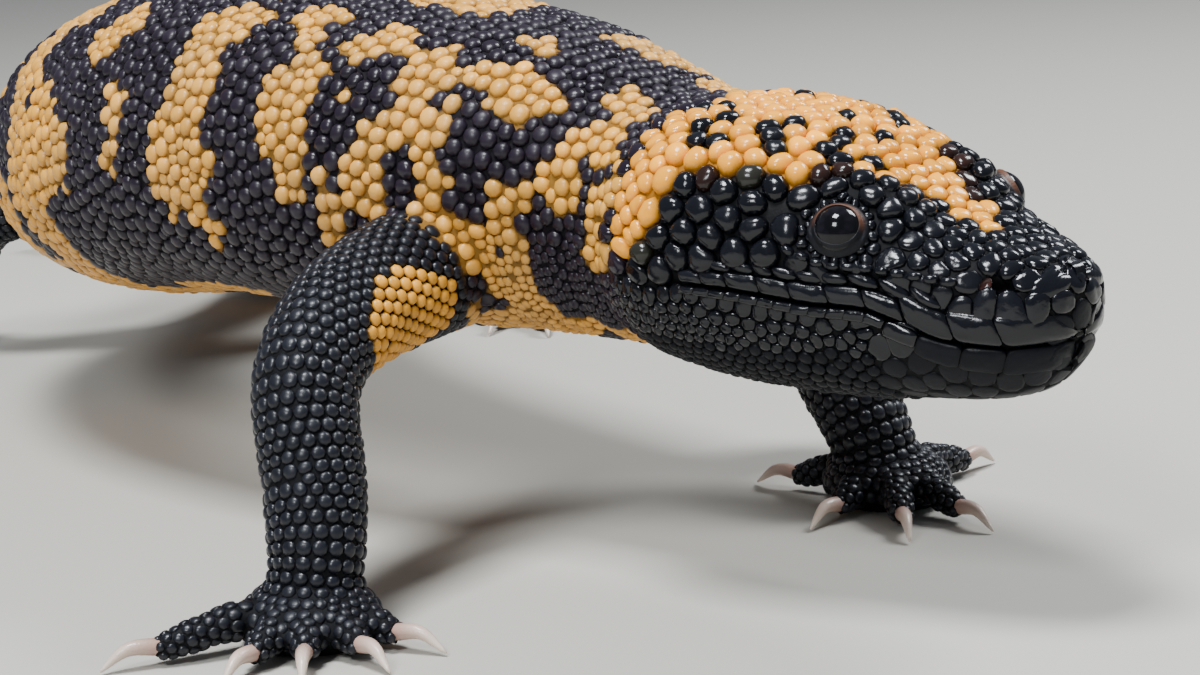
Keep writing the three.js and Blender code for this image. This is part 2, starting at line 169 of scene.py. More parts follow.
def spine_frame(s):
    """Place and ways forward, left and up of the spine at distance s."""
    s = np.clip(np.asarray(s, float), 0, BODY_LENGTH - 0.001)
    origin = np.stack([np.interp(s, steps, SPINE[:, i]) for i in range(3)], -1)
    forward = np.stack([np.interp(s, steps + 0.5, SPINE_FORWARD[:, i]) for i in range(3)], -1)
    forward = unit(forward)
    left = unit(np.cross([0.0, 0.0, 1.0], forward))
    return origin, forward, left, np.cross(forward, left)


def height_at(s, up):
    """Height of the section above the spine line, or its depth below it."""
    return np.where(up > 0, along(SECTIONS, s, 2), along(SECTIONS, s, 3))


def rounded(value, power):
    return np.sign(value) * np.abs(value) ** power


def section(s, a, inset=0.0):
    """Offset to the left and up of the body's surface at angle a, 0 at the back."""
    power = 2 / along(SQUARENESS, s)
    wide = along(SECTIONS, s, 1)
    inset = np.minimum(inset, wide * 0.6)
    up = rounded(np.cos(a), power) * (height_at(s, np.cos(a)) - inset)
    return rounded(np.sin(a), power) * (wide - inset), up


def place(s, left, up):
    origin, _, to_left, to_up = spine_frame(s)
    return origin + to_left * np.asarray(left)[..., None] + to_up * np.asarray(up)[..., None]


def body_point(s, a, inset=0.0):
    return place(s, *section(s, a, inset))


def width_at(s, up, inset=0.0):
    """Half width of the section at a height from the spine line."""
    power = along(SQUARENESS, s)
    share = np.minimum(1, np.abs(up) / np.maximum(height_at(s, up) - inset, 0.1))
    return np.maximum(along(SECTIONS, s, 1) - inset, 0) * (1 - share**power) ** (1 / power)


# The limbs' line and girth, in millimetres.
# Four short sturdy legs bent outwards, each with a broad sole and five stubby toes that fan from
# it. Places are from the spine: forward, outwards and above the floor.
LIMB_RADII = np.array([[0, 11], [0.3, 8.2], [0.5, 7.6], [0.75, 7.2], [1, 6.2]])
LEG_THICKER = 1.06
JOINT_ROUNDING = 0.22
PALM_LENGTH, PALM_WIDTH, PALM_HEIGHT, PALM_MIDDLE = 10.5, 9.4, 6.4, 3.4
TOE_ROOT, TOE_TIP = 3.1, 2.1
CLAW_LENGTH, CLAW_RADIUS = 7.0, 1.175
# Joints and palm: forward, outwards, up. Toes: degrees outwards and reach
LEG_TOES = [(100, 26), (62, 28), (36, 26), (12, 23), (-14, 19)]
LIMBS = {
    "arm_right": dict(
        at=98, side=-1, thick=1, joints=[(-4, 14, 44), (5, 53, 38), (15, 61, 14)], palm=(16, 64),
        toes=[(113, 22), (72, 15), (44, 14), (12, 14), (-16, 14)],
    ),
    "arm_left": dict(
        at=98, side=1, thick=1, joints=[(-4, 14, 44), (4, 46, 34), (29, 36, 14)], palm=(33, 37),
        toes=[(92, 21), (-15, 19), (-44, 19), (-84, 14), (-172, 17)],
    ),
    "leg_right": dict(
        at=282, side=-1, thick=LEG_THICKER, joints=[(0, 12, 30), (13, 45, 34), (-1, 60, 18)],
        palm=(2, 63), toes=LEG_TOES,
    ),
    "leg_left": dict(
        at=282, side=1, thick=LEG_THICKER, joints=[(0, 12, 30), (-5, 47, 35), (-19, 55, 18)],
        palm=(-18, 58), toes=LEG_TOES,
    ),
}


def curve_at(points, u):
    """Points of a smooth curve through marks, at shares u of it (centripetal Catmull-Rom)."""
    points = np.asarray(points, float)
    last = len(points) - 1
    p = np.clip(np.asarray(u, float), 0, 1) * last
    k = np.minimum(p.astype(int), last - 1)
    t = (p - k)[..., None]
    padded = np.concatenate([[2 * points[0] - points[1]], points, [2 * points[-1] - points[-2]]])
    x0, x1, x2, x3 = (padded[k + i] for i in range(4))
    d0, d1, d2 = (
        np.sqrt(np.linalg.norm(a - b, axis=-1, keepdims=True))
        for a, b in ((x0, x1), (x1, x2), (x2, x3))
    )
    t1 = ((x1 - x0) / d0 - (x2 - x0) / (d0 + d1) + (x2 - x1) / d1) * d1
    t2 = ((x2 - x1) / d1 - (x3 - x1) / (d1 + d2) + (x3 - x2) / d2) * d1
    return (
        x1 + t1 * t + (3 * (x2 - x1) - 2 * t1 - t2) * t**2 + (2 * (x1 - x2) + t1 + t2) * t**3
    )


def tube_point(points, u, a, radius):
    """Point on a tube round a curve, at share u and angle a."""
    u = np.asarray(u)
    forward = unit(curve_at(points, u + 0.004) - curve_at(points, u - 0.004))
    across = unit(np.cross([0.0, 0.0, 1.0], forward))
    over_it = np.cross(forward, across)
    spoke = across * np.cos(a)[..., None] + over_it * np.sin(a)[..., None]
    return curve_at(points, u) + np.asarray(radius)[..., None] * spoke


def toe_line(palm, way, far, heights):
    """Marks along a toe or claw: how far from the palm, and how high above the floor."""
    line = palm + np.outer(far, way)
    line[:, 2] = heights
    return line


for limb in LIMBS.values():
    origin, forward, left, _ = spine_frame(limb["at"])
    forward = unit(forward * [1, 1, 0])
    joints = np.array(limb["joints"] + [(*limb["palm"], PALM_MIDDLE)], float)
    marks = origin + forward * joints[:, :1] + left * limb["side"] * joints[:, 1:2]
    marks[:, 2] = joints[:, 2]
    line = [marks[0]]
    for before, mark, after in zip(marks, marks[1:], marks[2:]):
        line += [mark + (before - mark) * JOINT_ROUNDING, mark + (after - mark) * JOINT_ROUNDING]
    limb["line"] = np.array(line + [marks[-1]])
    limb["palm_at"], limb["way"] = marks[-1], forward
    limb["toe_lines"], limb["claw_lines"] = [], []
    for degrees, reach in limb["toes"]:
        t = math.radians(limb["side"] * degrees)
        fx, fy = forward[:2]
        way = [fx * math.cos(t) - fy * math.sin(t), fx * math.sin(t) + fy * math.cos(t), 0]
        far = np.array([0.2, 0.5, 0.76, 1]) * reach
        limb["toe_lines"].append(toe_line(marks[-1], way, far, [4.4, 4.4, 3.3, 2.0]))
        far = [0.93 * reach, reach + CLAW_LENGTH * 0.45, reach + CLAW_LENGTH]
        limb["claw_lines"].append(toe_line(marks[-1], way, far, [2.6, 2.9, 0.5]))


# Skin.
# One unbroken hide from snout to tail tip and out to the toes, dark between the beads. The body,
# limbs, soles and toes are wrapped as one surface, so no seam shows where they meet.
COAT_DEPTH, HEAD_EXTRA, TOE_DEPTH = 1.0, 0.7, 0.35
LIMB_DEPTH = COAT_DEPTH * 0.8
SKIN_VOXEL, SKIN_SMOOTHING = 0.0008, 6
BODY_SIDES, LIMB_SIDES = 96, 40
FLESH_NODES = ["head", "neck", "chest", "belly", "hips", "tail_base", "tail_middle", "tail_tip"]
FLESH_NODES += [f"{limb}_{piece}" for limb in LIMBS for piece in ("upper", "lower", "foot")]


def coat_depth(s):
    """How far the skin lies inside the outline: more on the head, less at the snout's tip."""
    s = np.asarray(s, float)
    head = np.clip((66 - s) / 12, 0, 1) * HEAD_EXTRA
    return (COAT_DEPTH + head) * np.clip(0.35 + s / 10, 0.35, 1)


def limb_radius(limb, u):
    return limb["thick"] * along(LIMB_RADII, u)


def toe_radius(limb, u):
    knuckles = 1 + 0.05 * np.cos(2 * math.pi * np.asarray(u) * 3)
    return limb["thick"] * (TOE_ROOT + (TOE_TIP - TOE_ROOT) * u) * knuckles


def palm_point(limb, rise, a):
    """Point on a foot's rounded back and sole, at angle rise from its top and angle a round it."""
    across = np.cross([0.0, 0.0, 1.0], limb["way"])
    return limb["palm_at"] + (
        limb["way"] * (np.sin(rise) * np.cos(a))[..., None] * (PALM_LENGTH - TOE_DEPTH)
        + across * (np.sin(rise) * np.sin(a))[..., None] * (PALM_WIDTH - TOE_DEPTH)
        + np.array([0, 0, 1]) * np.cos(rise)[..., None] * (PALM_HEIGHT - COAT_DEPTH)
    )


def round_angles(number, shift=0.0):
    """Even angles round a ring, moved on by a share of a step."""
    return (np.arange(number) + shift) / number * 2 * math.pi


def ring_grid(rings, sides):
    """The rings' own values and the angles round them, as two grids."""
    return np.meshgrid(rings, round_angles(sides), indexing="ij")


def band_faces(rings, sides, first=0, turned=False):
    """Quads between rings of points."""
    faces = []
    for i in range(rings - 1):
        for j in range(sides):
            a, b = first + i * sides + j, first + i * sides + (j + 1) % sides
            faces.append((a, b, b + sides, a + sides) if turned else (a, a + sides, b + sides, b))
    return faces


def closed_tube(grid, first):
    """Points and faces of a tube through rings of points, with a fan at each end."""
    rings, sides = grid.shape[:2]
    start = first + rings * sides
    faces = band_faces(rings, sides, first)
    for j in range(sides):
        faces.append((start, first + j, first + (j + 1) % sides))
    for j in range(sides):
        faces.append((start + 1, start - sides + (j + 1) % sides, start - sides + j))
    return np.concatenate([grid.reshape(-1, 3), [grid[0].mean(0), grid[-1].mean(0)]]), faces


shell_points, shell_faces = [], []


def add_shell(grid):
    """Adds a closed tube to the shells that the skin is wrapped over."""
    points, faces = closed_tube(grid, sum(len(p) for p in shell_points))
    centre = grid[0].mean(0)
    around = np.cross(grid[0, 0] - centre, grid[0, grid.shape[1] // 4] - centre)
    if np.dot(around, grid[1].mean(0) - centre) < 0:
        faces = [tuple(reversed(f)) for f in faces]
    shell_points.append(points)
    shell_faces.extend(faces)


ring_s = np.concatenate([
    [0.15, 0.5, 1, 1.8, 2.8, 4], np.arange(5.5, BODY_LENGTH - 6, 1.5),
    [447.5, 449, 450.3, 451.3, 451.8],
])
S, A = ring_grid(ring_s, BODY_SIDES)
add_shell(body_point(S, A, coat_depth(S)))
for limb in LIMBS.values():
    U, A = ring_grid(np.linspace(0, 0.97, 60), LIMB_SIDES)
    add_shell(tube_point(limb["line"], U, A, limb_radius(limb, U) - LIMB_DEPTH))
    add_shell(palm_point(limb, *ring_grid(np.linspace(0.04, math.pi - 0.04, 24), LIMB_SIDES)))
    for toe in limb["toe_lines"]:
        U, A = ring_grid(np.linspace(0, 0.99, 20), LIMB_SIDES)
        end = np.where(U > 0.93, 0.8, 1.0)
        add_shell(tube_point(toe, U, A, (toe_radius(limb, U) - TOE_DEPTH) * end))

skin_mesh = bpy.data.meshes.new("skin")
skin_mesh.from_pydata((np.concatenate(shell_points) * MM).tolist(), [], shell_faces)
skin = put("skin", skin_mesh)


def apply_modifiers(piece):
    """Keeps what the piece's modifiers make as its own mesh."""
    made = piece.evaluated_get(bpy.context.evaluated_depsgraph_get())
    mesh = bpy.data.meshes.new_from_object(made)
    piece.modifiers.clear()
    piece.data = mesh


wrap = skin.modifiers.new("wrap", "REMESH")
wrap.mode = "VOXEL"
wrap.voxel_size = SKIN_VOXEL
relax = skin.modifiers.new("relax", "SMOOTH")
relax.factor = 0.5
relax.iterations = SKIN_SMOOTHING
apply_modifiers(skin)

# Relief of the skin.
# The line of the mouth, the sockets, nostrils and ear slits, the brows, and the folds under the
# eyes and round the neck are pressed into the skin itself, before any plate or bead is laid on.
MOUTH_LINE = np.array([
    [0.5, -4.2], [3, -4.8], [6, -5.2], [12, -5.0], [17, -3.4], [23, -2.2], [30, -2.6],
    [39, -2.4], [46, -2.6], [52, -4.2],
])
MOUTH_END, MOUTH_DEPTH, MOUTH_BREADTH = 53, 1.1, 0.75
EYE_S, EYE_UP, EYE_RADIUS, EYE_SUNK = 26.5, 8.0, 3.5, 1.8
NOSTRIL_S, NOSTRIL_UP = 5.9, 3.3
# Hollows: place along and up, half length and height, depth, fullness, reach inwards
HOLLOWS = [
    (EYE_S, EYE_UP, 3.9, 3.9, 3.2, 1.0, 6),
    (NOSTRIL_S, NOSTRIL_UP, 2.2, 1.5, 2.7, 1.15, 5),
    (58.4, -1.5, 1.3, 4.2, 2.2, 1.2, 6),
]
# Brow: distance, half length, degrees from the back, half width, height
BROW = (26.5, 6.5, 43, 10, 1.4)
# Fold under the eye: distances and heights of its line, then its height and half width
EYE_FOLD = ([10, 16, 22, 27.5, 33, 36], [2.6, 2.9, 3.2, 2.9, 4.2, 6.0])
EYE_FOLD_HEIGHT, EYE_FOLD_BREADTH = 0.75, 0.8
# Distance, depth and breadth
NECK_FOLDS = [(65.0, 0.8, 1.5), (71.5, 0.55, 1.3), (79.0, 0.6, 1.7), (88.0, 0.45, 1.6)]
LOWEST_SKIN = 0.06


def mesh_points(mesh):
    points = np.empty(len(mesh.vertices) * 3)
    mesh.vertices.foreach_get("co", points)
    return points.reshape(-1, 3)


def to_body(points):
    """Distance s, left and up of points (mm) near the body."""
    s = np.empty(len(points))
    for i in range(0, len(points), 20000):
        part = points[i : i + 20000]
        gap = part[:, None, :] - SPINE[None, ::2, :]
        ahead = (gap * SPINE_FORWARD[None, ::2, :]).sum(-1)
        near = np.argmin(np.abs(ahead) + 0.06 * np.linalg.norm(gap, axis=-1), 1)
        s[i : i + 20000] = np.clip(near * 2 - ahead[np.arange(len(part)), near], 0, BODY_LENGTH)
    origin, _, to_left, to_up = spine_frame(s)
    return s, ((points - origin) * to_left).sum(-1), ((points - origin) * to_up).sum(-1)


def flank(s, up, side, inset=0.0):
    """Place on the flank at a height, with the ways along the body, upwards and out."""
    s, up = np.asarray(s, float), np.asarray(up, float)

    def at(ds, du):
        return place(s + ds, side * width_at(s + ds, up + du, inset), up + du)

    way = unit(at(-0.4, 0) - at(0.4, 0))
    out = unit(np.cross(unit(at(0, 0.4) - at(0, -0.4)), way)) * -side
    outward = at(0, 0) - place(s, np.zeros_like(s), up)
    out = out * np.where((out * outward).sum(-1, keepdims=True) < 0, -1, 1)
    rise = np.cross(out, way)
    return at(0, 0), way, rise * np.where(rise[..., 2:] < 0, -1, 1), out


points = mesh_points(skin.data) / MM
normals = np.empty(points.size)
skin.data.vertex_normals.foreach_get("vector", normals)
s, left, up = to_body(points)
on_flank = np.clip((np.abs(left) - 1.0) / 2.5, 0, 1) * (s < MOUTH_END)
from_mouth = up - along(MOUTH_LINE, s)
depth = MOUTH_DEPTH * np.exp(-((from_mouth / MOUTH_BREADTH) ** 2)) * on_flank
depth *= np.clip((MOUTH_END - s) / 3, 0, 1)
for side in (-1, 1):
    for hollow_s, hollow_up, long, high, deep, full, wall in HOLLOWS:
        centre, way, rise, out = flank(hollow_s, hollow_up, side)
        gap = points - centre
        reach = np.sqrt((gap @ way / long) ** 2 + (gap @ rise / high) ** 2)
        depth += (np.abs(gap @ out) < wall) * deep * np.clip(full - reach**2, 0, 1)
inside = np.hypot(left / along(SECTIONS, s, 1), up / height_at(s, up))
below = np.clip(0.75 - up / 14, 0, 1)
for fold_s, deep, broad in NECK_FOLDS:
    bent = fold_s + 1.5 * np.sin(up / 7.0 + fold_s)
    depth += (inside < 1.12) * below * deep * np.exp(-(((s - bent) / broad) ** 2))
turned = np.degrees(np.abs(np.arctan2(left, up)))
brow_s, brow_long, brow_turn, brow_broad, brow_high = BROW
depth -= brow_high * np.exp(
    -(((s - brow_s) / brow_long) ** 2) - ((turned - brow_turn) / brow_broad) ** 2
)
from_fold = (up - np.interp(s, *EYE_FOLD)) / EYE_FOLD_BREADTH
depth -= EYE_FOLD_HEIGHT * np.exp(-(from_fold**2)) * on_flank * (s > 11) * (s < 34)
points -= normals.reshape(-1, 3) * depth[:, None]
points[:, 2] = np.maximum(points[:, 2], LOWEST_SKIN)
skin.data.vertices.foreach_set("co", (points * MM).ravel())
skin.data.update()

# Markings.
# Orange blotches and bands on purplish black, as the live animal carries them: an orange crown
# with a few black scales, a black face and black feet, and a tail ringed in both colours.
ORANGE = np.array([0.79, 0.365, 0.038])
CROWN_ORANGE = np.array([0.93, 0.375, 0.022])
TAN = np.array([0.59, 0.325, 0.090])
BLACK = np.array([0.0045, 0.0050, 0.0078])
PURPLE_BLACK = np.array([0.014, 0.0090, 0.017])
EDGE_BROWN = np.array([0.020, 0.0085, 0.0065])
# Blotches on the right side: distance from the snout, angle, half length, half height
ORANGE_SPOTS = [
    (101.5, -84, 8.4, 13), (82.5, -107, 3.4, 10), (75.5, -72, 3.4, 7), (70, -50, 3.0, 8),
    (66.5, -88, 3.6, 8), (88.5, -47, 7, 5), (92, -22, 5, 5), (100, -50, 6.8, 4.2),
    (112, -45, 6, 4.8), (121, -72, 4.8, 13), (127, -40, 5, 5), (142, -84, 5.8, 23),
    (141, -46, 5.5, 5), (167, -56, 6, 6), (176, -80, 5.5, 10), (92, -106, 5.5, 5.5),
    (112, -100, 3.0, 6), (158, -84, 2.6, 8), (74, -28, 4, 4),
]
BLACK_SPOTS = [(99.8, -87, 2.9, 5.6), (142, -112, 3, 5)]
# Black scales on the crown: distance, angle, half length, half width
CROWN_SPOTS = [
    (51.8, -48, 2.3, 1.7), (43.0, -40, 2.2, 1.7), (34.8, -36, 1.5, 2.3), (37.6, -26, 1.6, 2.4),
    (37.4, -12, 1.4, 3.0), (36.0, 4, 1.4, 3.2), (30.2, -20, 2.6, 1.1), (55.6, -42, 2.0, 1.4),
    (51.8, -34, 2.4, 1.2), (46.0, -29, 2.6, 1.1), (58.3, -25, 2.8, 2.4), (50.0, 42, 2.4, 2.0),
    (41.0, 36, 2.2, 1.8), (55.0, 20, 2.6, 2.0), (44.0, 12, 1.6, 1.4), (44, -19, 1.6, 1.2),
]
# Lower edge of the orange crown: distance from the snout, angle from the back
CROWN_EDGE = np.array([
    [15, 14], [18, 26], [22, 18], [25.5, 28], [30, 34], [32.6, 44], [34, 50], [35.3, 60],
    [38.8, 54], [43.3, 57], [48.9, 61], [52, 70], [54, 86], [58, 92], [62, 96],
])
# The large patch on each upper arm: its middle and reach
ARM_PATCH = {"arm_right": ((143.1, -2.9, 38.2), 9.5), "arm_left": ((128.0, 62.0, 41.0), 9.0)}


def lattice_noise(points, scale, seed):
    """Smooth noise from 0 to 1 on points in space."""
    p = points / scale + seed * 17.31
    cell = np.floor(p).astype(np.int64)
    t = p - cell
    t = t * t * (3 - 2 * t)
    total = np.zeros(len(points))
    for corner in np.ndindex(2, 2, 2):
        c = cell + corner
        h = (c[:, 0] * 73856093) ^ (c[:, 1] * 19349663) ^ (c[:, 2] * 83492791)
        h = (h ^ (h >> 13)) * 1274126177
        value = ((h ^ (h >> 16)) & 0xFFFF) / 65535.0
        total += np.prod(np.where(corner, t, 1 - t), axis=1) * value
    return total


def spots(s, degrees, girth, rows):
    """How deep a place lies in the nearest of a list of oval spots: above 0 is inside."""
    best = np.full(len(s), -9.0)
    for spot_s, spot_a, long, high in rows:
        across = np.radians(degrees - spot_a) * girth
        best = np.maximum(best, 1 - np.hypot((s - spot_s) / long, across / high))
    return best


def body_colour(points, s, left, up):
    """Marking colour of places on head, neck, trunk and tail, and whether it is orange."""
    angle = np.arctan2(left, up)
    degrees = np.degrees(angle)
    girth = np.maximum(along(SECTIONS, s, 1), 6)
    blotch = lattice_noise(points * [1, 1, 0.8], 13.0, 2) * 0.72
    blotch = blotch + lattice_noise(points, 6.0, 3) * 0.28
    # Trunk in ragged bands, tail in rings
    bands = np.cos((s - 118) / 34 * 2 * math.pi + 1.2 * np.sin(angle) + 3 * (blotch - 0.5))
    trunk = blotch - 0.50 + 0.07 * bands
    rings = np.cos((s - 322) / 31 * 2 * math.pi + 2.2 * (blotch - 0.5))
    tail = np.clip((s - 290) / 20, 0, 1)
    field = (trunk * (1 - tail) + tail * (rings * 0.30 + (blotch - 0.5) * 0.5)) * 6
    # The right side carries the drawn blotches
    wander_s = s + 5.0 * (lattice_noise(points, 4.5, 21) - 0.5)
    wander_a = degrees + 16.0 * (lattice_noise(points, 4.5, 22) - 0.5)
    seen = (s > 62) & (s < 182) & (degrees < -15) & (degrees > -135)
    ease = np.clip((184 - s) / 20, 0, 1) * np.clip((-12 - degrees) / 12, 0, 1)
    lit = spots(wander_s, wander_a, girth, ORANGE_SPOTS) * 2.0
    dark = spots(s, degrees, girth, BLACK_SPOTS) * 2.0
    drawn = np.where(dark > 0, -dark - 0.4, np.maximum(lit, (field - 2.2) * 0.5))
    field = np.where(seen, field * (1 - ease) + drawn * ease, field)
    # Crown
    crown = (along(CROWN_EDGE, s) - np.abs(degrees)) / 6
    crown = np.where((s > 14) & (s < 68), crown, -1)
    crown = np.where(spots(s, degrees, girth * 0.82, CROWN_SPOTS) > 0, -1, crown)
    crown = crown + (lattice_noise(points, 4.0, 5) - 0.5) * 1.2
    on_head = s < HEAD_LENGTH
    field = np.where(on_head, crown, np.where(s < 60, -1, field))
    field = field + (lattice_noise(points, 3.2, 1) - 0.5) * 0.5
    orange = np.where(on_head[:, None], CROWN_ORANGE, ORANGE)
    mix = lattice_noise(points, 9.0, 7)[:, None] * (~on_head)[:, None]
    orange = orange * (1 - 0.75 * mix) + TAN * 0.75 * mix
    dark = np.where((s > 60)[:, None], PURPLE_BLACK, BLACK)
    edge = on_head & (field > -0.45) & (s > 20)
    dark = np.where(edge[:, None], EDGE_BROWN, dark)
    return np.where((field > 0)[:, None], orange, dark), field > 0


def limb_colour(points, u, name):
    """Black limbs, with orange blotches only near the body."""
    blotch = lattice_noise(points, 9.0, 11) * 0.7 + lattice_noise(points, 4.0, 12) * 0.3
    limit = 0.54 + np.clip(u - 0.12, 0, 1) * (1.8 if name.startswith("arm") else 0.8)
    lit = blotch > limit
    if name in ARM_PATCH:
        middle, reach = ARM_PATCH[name]
        gap = np.linalg.norm((points - middle) * [1, 1, 1.15], axis=1)
        lit = lit & (gap > reach + 5) | (gap < reach * (0.86 + 0.3 * blotch))
    return np.where(lit[:, None], ORANGE, BLACK * 1.9), lit


def paint(mesh, colours):
    """Stores a colour for each point as the attribute the finishes read, and shades it smooth."""
    layer = mesh.color_attributes.new("tint", "FLOAT_COLOR", "POINT")
    rgba = np.concatenate([colours, np.ones((len(colours), 1))], 1)
    layer.data.foreach_set("color", rgba.astype(np.float32).ravel())
    mesh.polygons.foreach_set("use_smooth", [True] * len(mesh.polygons))


def scale_grain():
    """Node group: a scale's own colour, unevenly worn and wet, with its fine surface grain."""
    group = bpy.data.node_groups.new("scale_grain", "ShaderNodeTree")
    for name, way, kind, usual in (
        ("Tint", "INPUT", "Color", None), ("Grain Size", "INPUT", "Float", 900),
        ("Dry Roughness", "INPUT", "Float", 0.5), ("Wet Roughness", "INPUT", "Float", 0.2),
        ("Color", "OUTPUT", "Color", None), ("Roughness", "OUTPUT", "Float", None),
        ("Height", "OUTPUT", "Float", None),
    ):
        socket = group.interface.new_socket(name, in_out=way, socket_type=f"NodeSocket{kind}")
        if usual is not None:
            socket.default_value = usual

    def node(kind, **settings):
        made = group.nodes.new(kind)
        for name, value in settings.items():
            made.inputs[name.replace("_", " ")].default_value = value
        return made

    given, result = node("NodeGroupInput"), node("NodeGroupOutput")
    where = node("ShaderNodeTexCoord")
    fine = node("ShaderNodeTexNoise", Detail=4)
    patches = node("ShaderNodeTexNoise", Scale=130, Detail=2)
    spread = node("ShaderNodeMapRange", To_Min=0.80, To_Max=1.22)
    wet = node("ShaderNodeMapRange", From_Min=0.35, From_Max=0.65)
    tinted = node("ShaderNodeVectorMath")
    tinted.operation = "SCALE"
    for start, end in (
        (where.outputs["Object"], fine.inputs["Vector"]),
        (where.outputs["Object"], patches.inputs["Vector"]),
        (given.outputs["Grain Size"], fine.inputs["Scale"]),
        (patches.outputs["Fac"], spread.inputs["Value"]),
        (given.outputs["Tint"], tinted.inputs[0]),
        (spread.outputs["Result"], tinted.inputs["Scale"]),
        (tinted.outputs["Vector"], result.inputs["Color"]),
        (patches.outputs["Fac"], wet.inputs["Value"]),
        (given.outputs["Wet Roughness"], wet.inputs["To Min"]),
        (given.outputs["Dry Roughness"], wet.inputs["To Max"]),
        (wet.outputs["Result"], result.inputs["Roughness"]),
        (fine.outputs["Fac"], result.inputs["Height"]),
    ):
        group.links.new(start, end)
    return group


grain_group = scale_grain()


def scale_finish(name, grain, dry, wet, coat, bump, shine):
    """A finish that takes its colour from the piece's tint, with grain and wet patches."""
    material = bpy.data.materials.new(name)
    material.use_nodes = True
    nodes, links = material.node_tree.nodes, material.node_tree.links
    shader = nodes["Principled BSDF"]
    tint = nodes.new("ShaderNodeAttribute")
    tint.attribute_name = "tint"
    surface = nodes.new("ShaderNodeGroup")
    surface.node_tree = grain_group
    surface.inputs["Grain Size"].default_value = grain
    surface.inputs["Dry Roughness"].default_value = dry
    surface.inputs["Wet Roughness"].default_value = wet
    relief = nodes.new("ShaderNodeBump")
    relief.inputs["Strength"].default_value = bump
    relief.inputs["Distance"].default_value = 0.0002
    links.new(tint.outputs["Color"], surface.inputs["Tint"])
    links.new(surface.outputs["Color"], shader.inputs["Base Color"])
    links.new(surface.outputs["Roughness"], shader.inputs["Roughness"])
    links.new(surface.outputs["Height"], relief.inputs["Height"])
    links.new(relief.outputs["Normal"], shader.inputs["Normal"])
    shader.inputs["Coat Weight"].default_value = coat
    shader.inputs["Coat Roughness"].default_value = 0.12
    shader.inputs["Specular IOR Level"].default_value = shine
    return material


skin_tint, _ = body_colour(points, s, left, up)
skin_tint[inside > 1.12] = BLACK * 1.3
paint(skin.data, skin_tint * 0.30 + 0.002)
skin_finish = scale_finish(
    "bare_skin", grain=1600, dry=0.75, wet=0.60, coat=0.0, bump=0.5, shine=0.12
)
skin.data.materials.append(skin_finish)
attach(skin, "root")
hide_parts(*FLESH_NODES)

# Places of the beads.
# Each scale is a hard bead with a little bone in its root. They crowd unevenly on the head and
# stand in slanting rows round the neck, trunk, tail, limbs and toes.
TRUNK_PITCH, LIMB_PITCH, TOE_PITCH = 2.75, 2.1, 1.75
ROW_STEP = 0.87
CANDIDATE_STEP, SPREADING_ROUNDS = 0.42, 6
HEAD_ROOM, ALL_ROOM = 0.77, 0.74
FILL_RADIUS, FILL_HEIGHT, FILL_ROOM = 0.95, 0.5, 0.85
LIP_HIGH, LIP_LOW = 5.4, 3.0
EYE_CLEAR, NOSTRIL_CLEAR, MOUTH_CLEAR = 6.0, 2.7, 0.9
# Narrow scales round each eye: how many, ring's radius, bead's radius, shift
EYE_RINGS = [(20, 3.95, 0.62, 0.0), (24, 5.1, 0.68, 0.5)]
random = np.random.default_rng(7)
found = []
skin_tree = BVHTree.FromPolygons(
    [tuple(p) for p in mesh_points(skin.data)],
    [tuple(p.vertices) for p in skin.data.polygons],
)


def keep(points, radius, height, group, limit=1.6):
    """Drops places on the skin and notes those that are near enough to it."""
    sizes = (np.broadcast_to(size, len(points)) for size in (radius, height))
    for p, r, h in zip(points, *sizes):
        hit, _, _, far = skin_tree.find_nearest(Vector(p) * MM, 0.004)
        if hit is not None and far / MM <= limit:
            found.append(((hit[0] / MM, hit[1] / MM, hit[2] / MM), r, h, group))


def head_bead(s, degrees):
    """Radius and height of beads: domes on temple and crown, low on the snout, fine below."""
    a = np.abs(degrees)
    radius, height = np.full(len(s), 1.55), np.full(len(s), 0.85)
    for mask, r, h in (
        ((a < 62) & (s > 30), 1.65, 1.35),
        ((a >= 50) & (a < 96) & (s > 31) & (s < 56), 1.95, 1.6),
        ((a >= 32) & (a < 66) & (s > 20) & (s <= 32), 1.5, 1.25),
        ((s <= 20) & (a < 60), 1.5, 0.75),
        ((s <= 24) & (a >= 60) & (a < 100), 1.6, 0.7),
        (s <= 5, 1.9, 0.55),
        ((s > 54) & (a > 50), 1.35, 0.9),
        ((a >= 98) & (s > 20), 1.0, 0.6),
        ((a >= 108) & (s > 34), 0.82, 0.42),
        ((a >= 104) & (s <= 22), 1.9, 0.24),
    ):
        radius[mask], height[mask] = r, h
    return radius, height


def girth_run(s, depth):
    """Angles round the body, and the length of skin up to each of them."""
    round_it = np.linspace(-math.pi, math.pi, 720, endpoint=False)
    ring = body_point(np.full(720, s), round_it, depth)
    length = np.linalg.norm(np.roll(ring, -1, 0) - ring, axis=1)
    return np.append(round_it, math.pi), np.concatenate([[0], np.cumsum(length)])


CELL = 4
NEXT_CELLS = [(x - 1, y - 1, z - 1) for x, y, z in np.ndindex(3, 3, 3)]


def thin(places, radii, share):
    """Numbers of the places that clear all those kept before them, by a share of both radii."""
    cells, kept = {}, []
    for i, (p, r) in enumerate(zip(places.tolist(), radii.tolist())):
        x, y, z = (int(v // CELL) for v in p)
        others = (
            other for dx, dy, dz in NEXT_CELLS for other in cells.get((x + dx, y + dy, z + dz), ())
        )
        if all(math.dist(p, q) >= (r + other_r) * share for q, other_r in others):
            cells.setdefault((x, y, z), []).append((p, r))
            kept.append(i)
    return kept


def tree_of(points):
    tree = KDTree(len(points))
    for i, p in enumerate(points):
        tree.insert(p, i)
    tree.balance()
    return tree


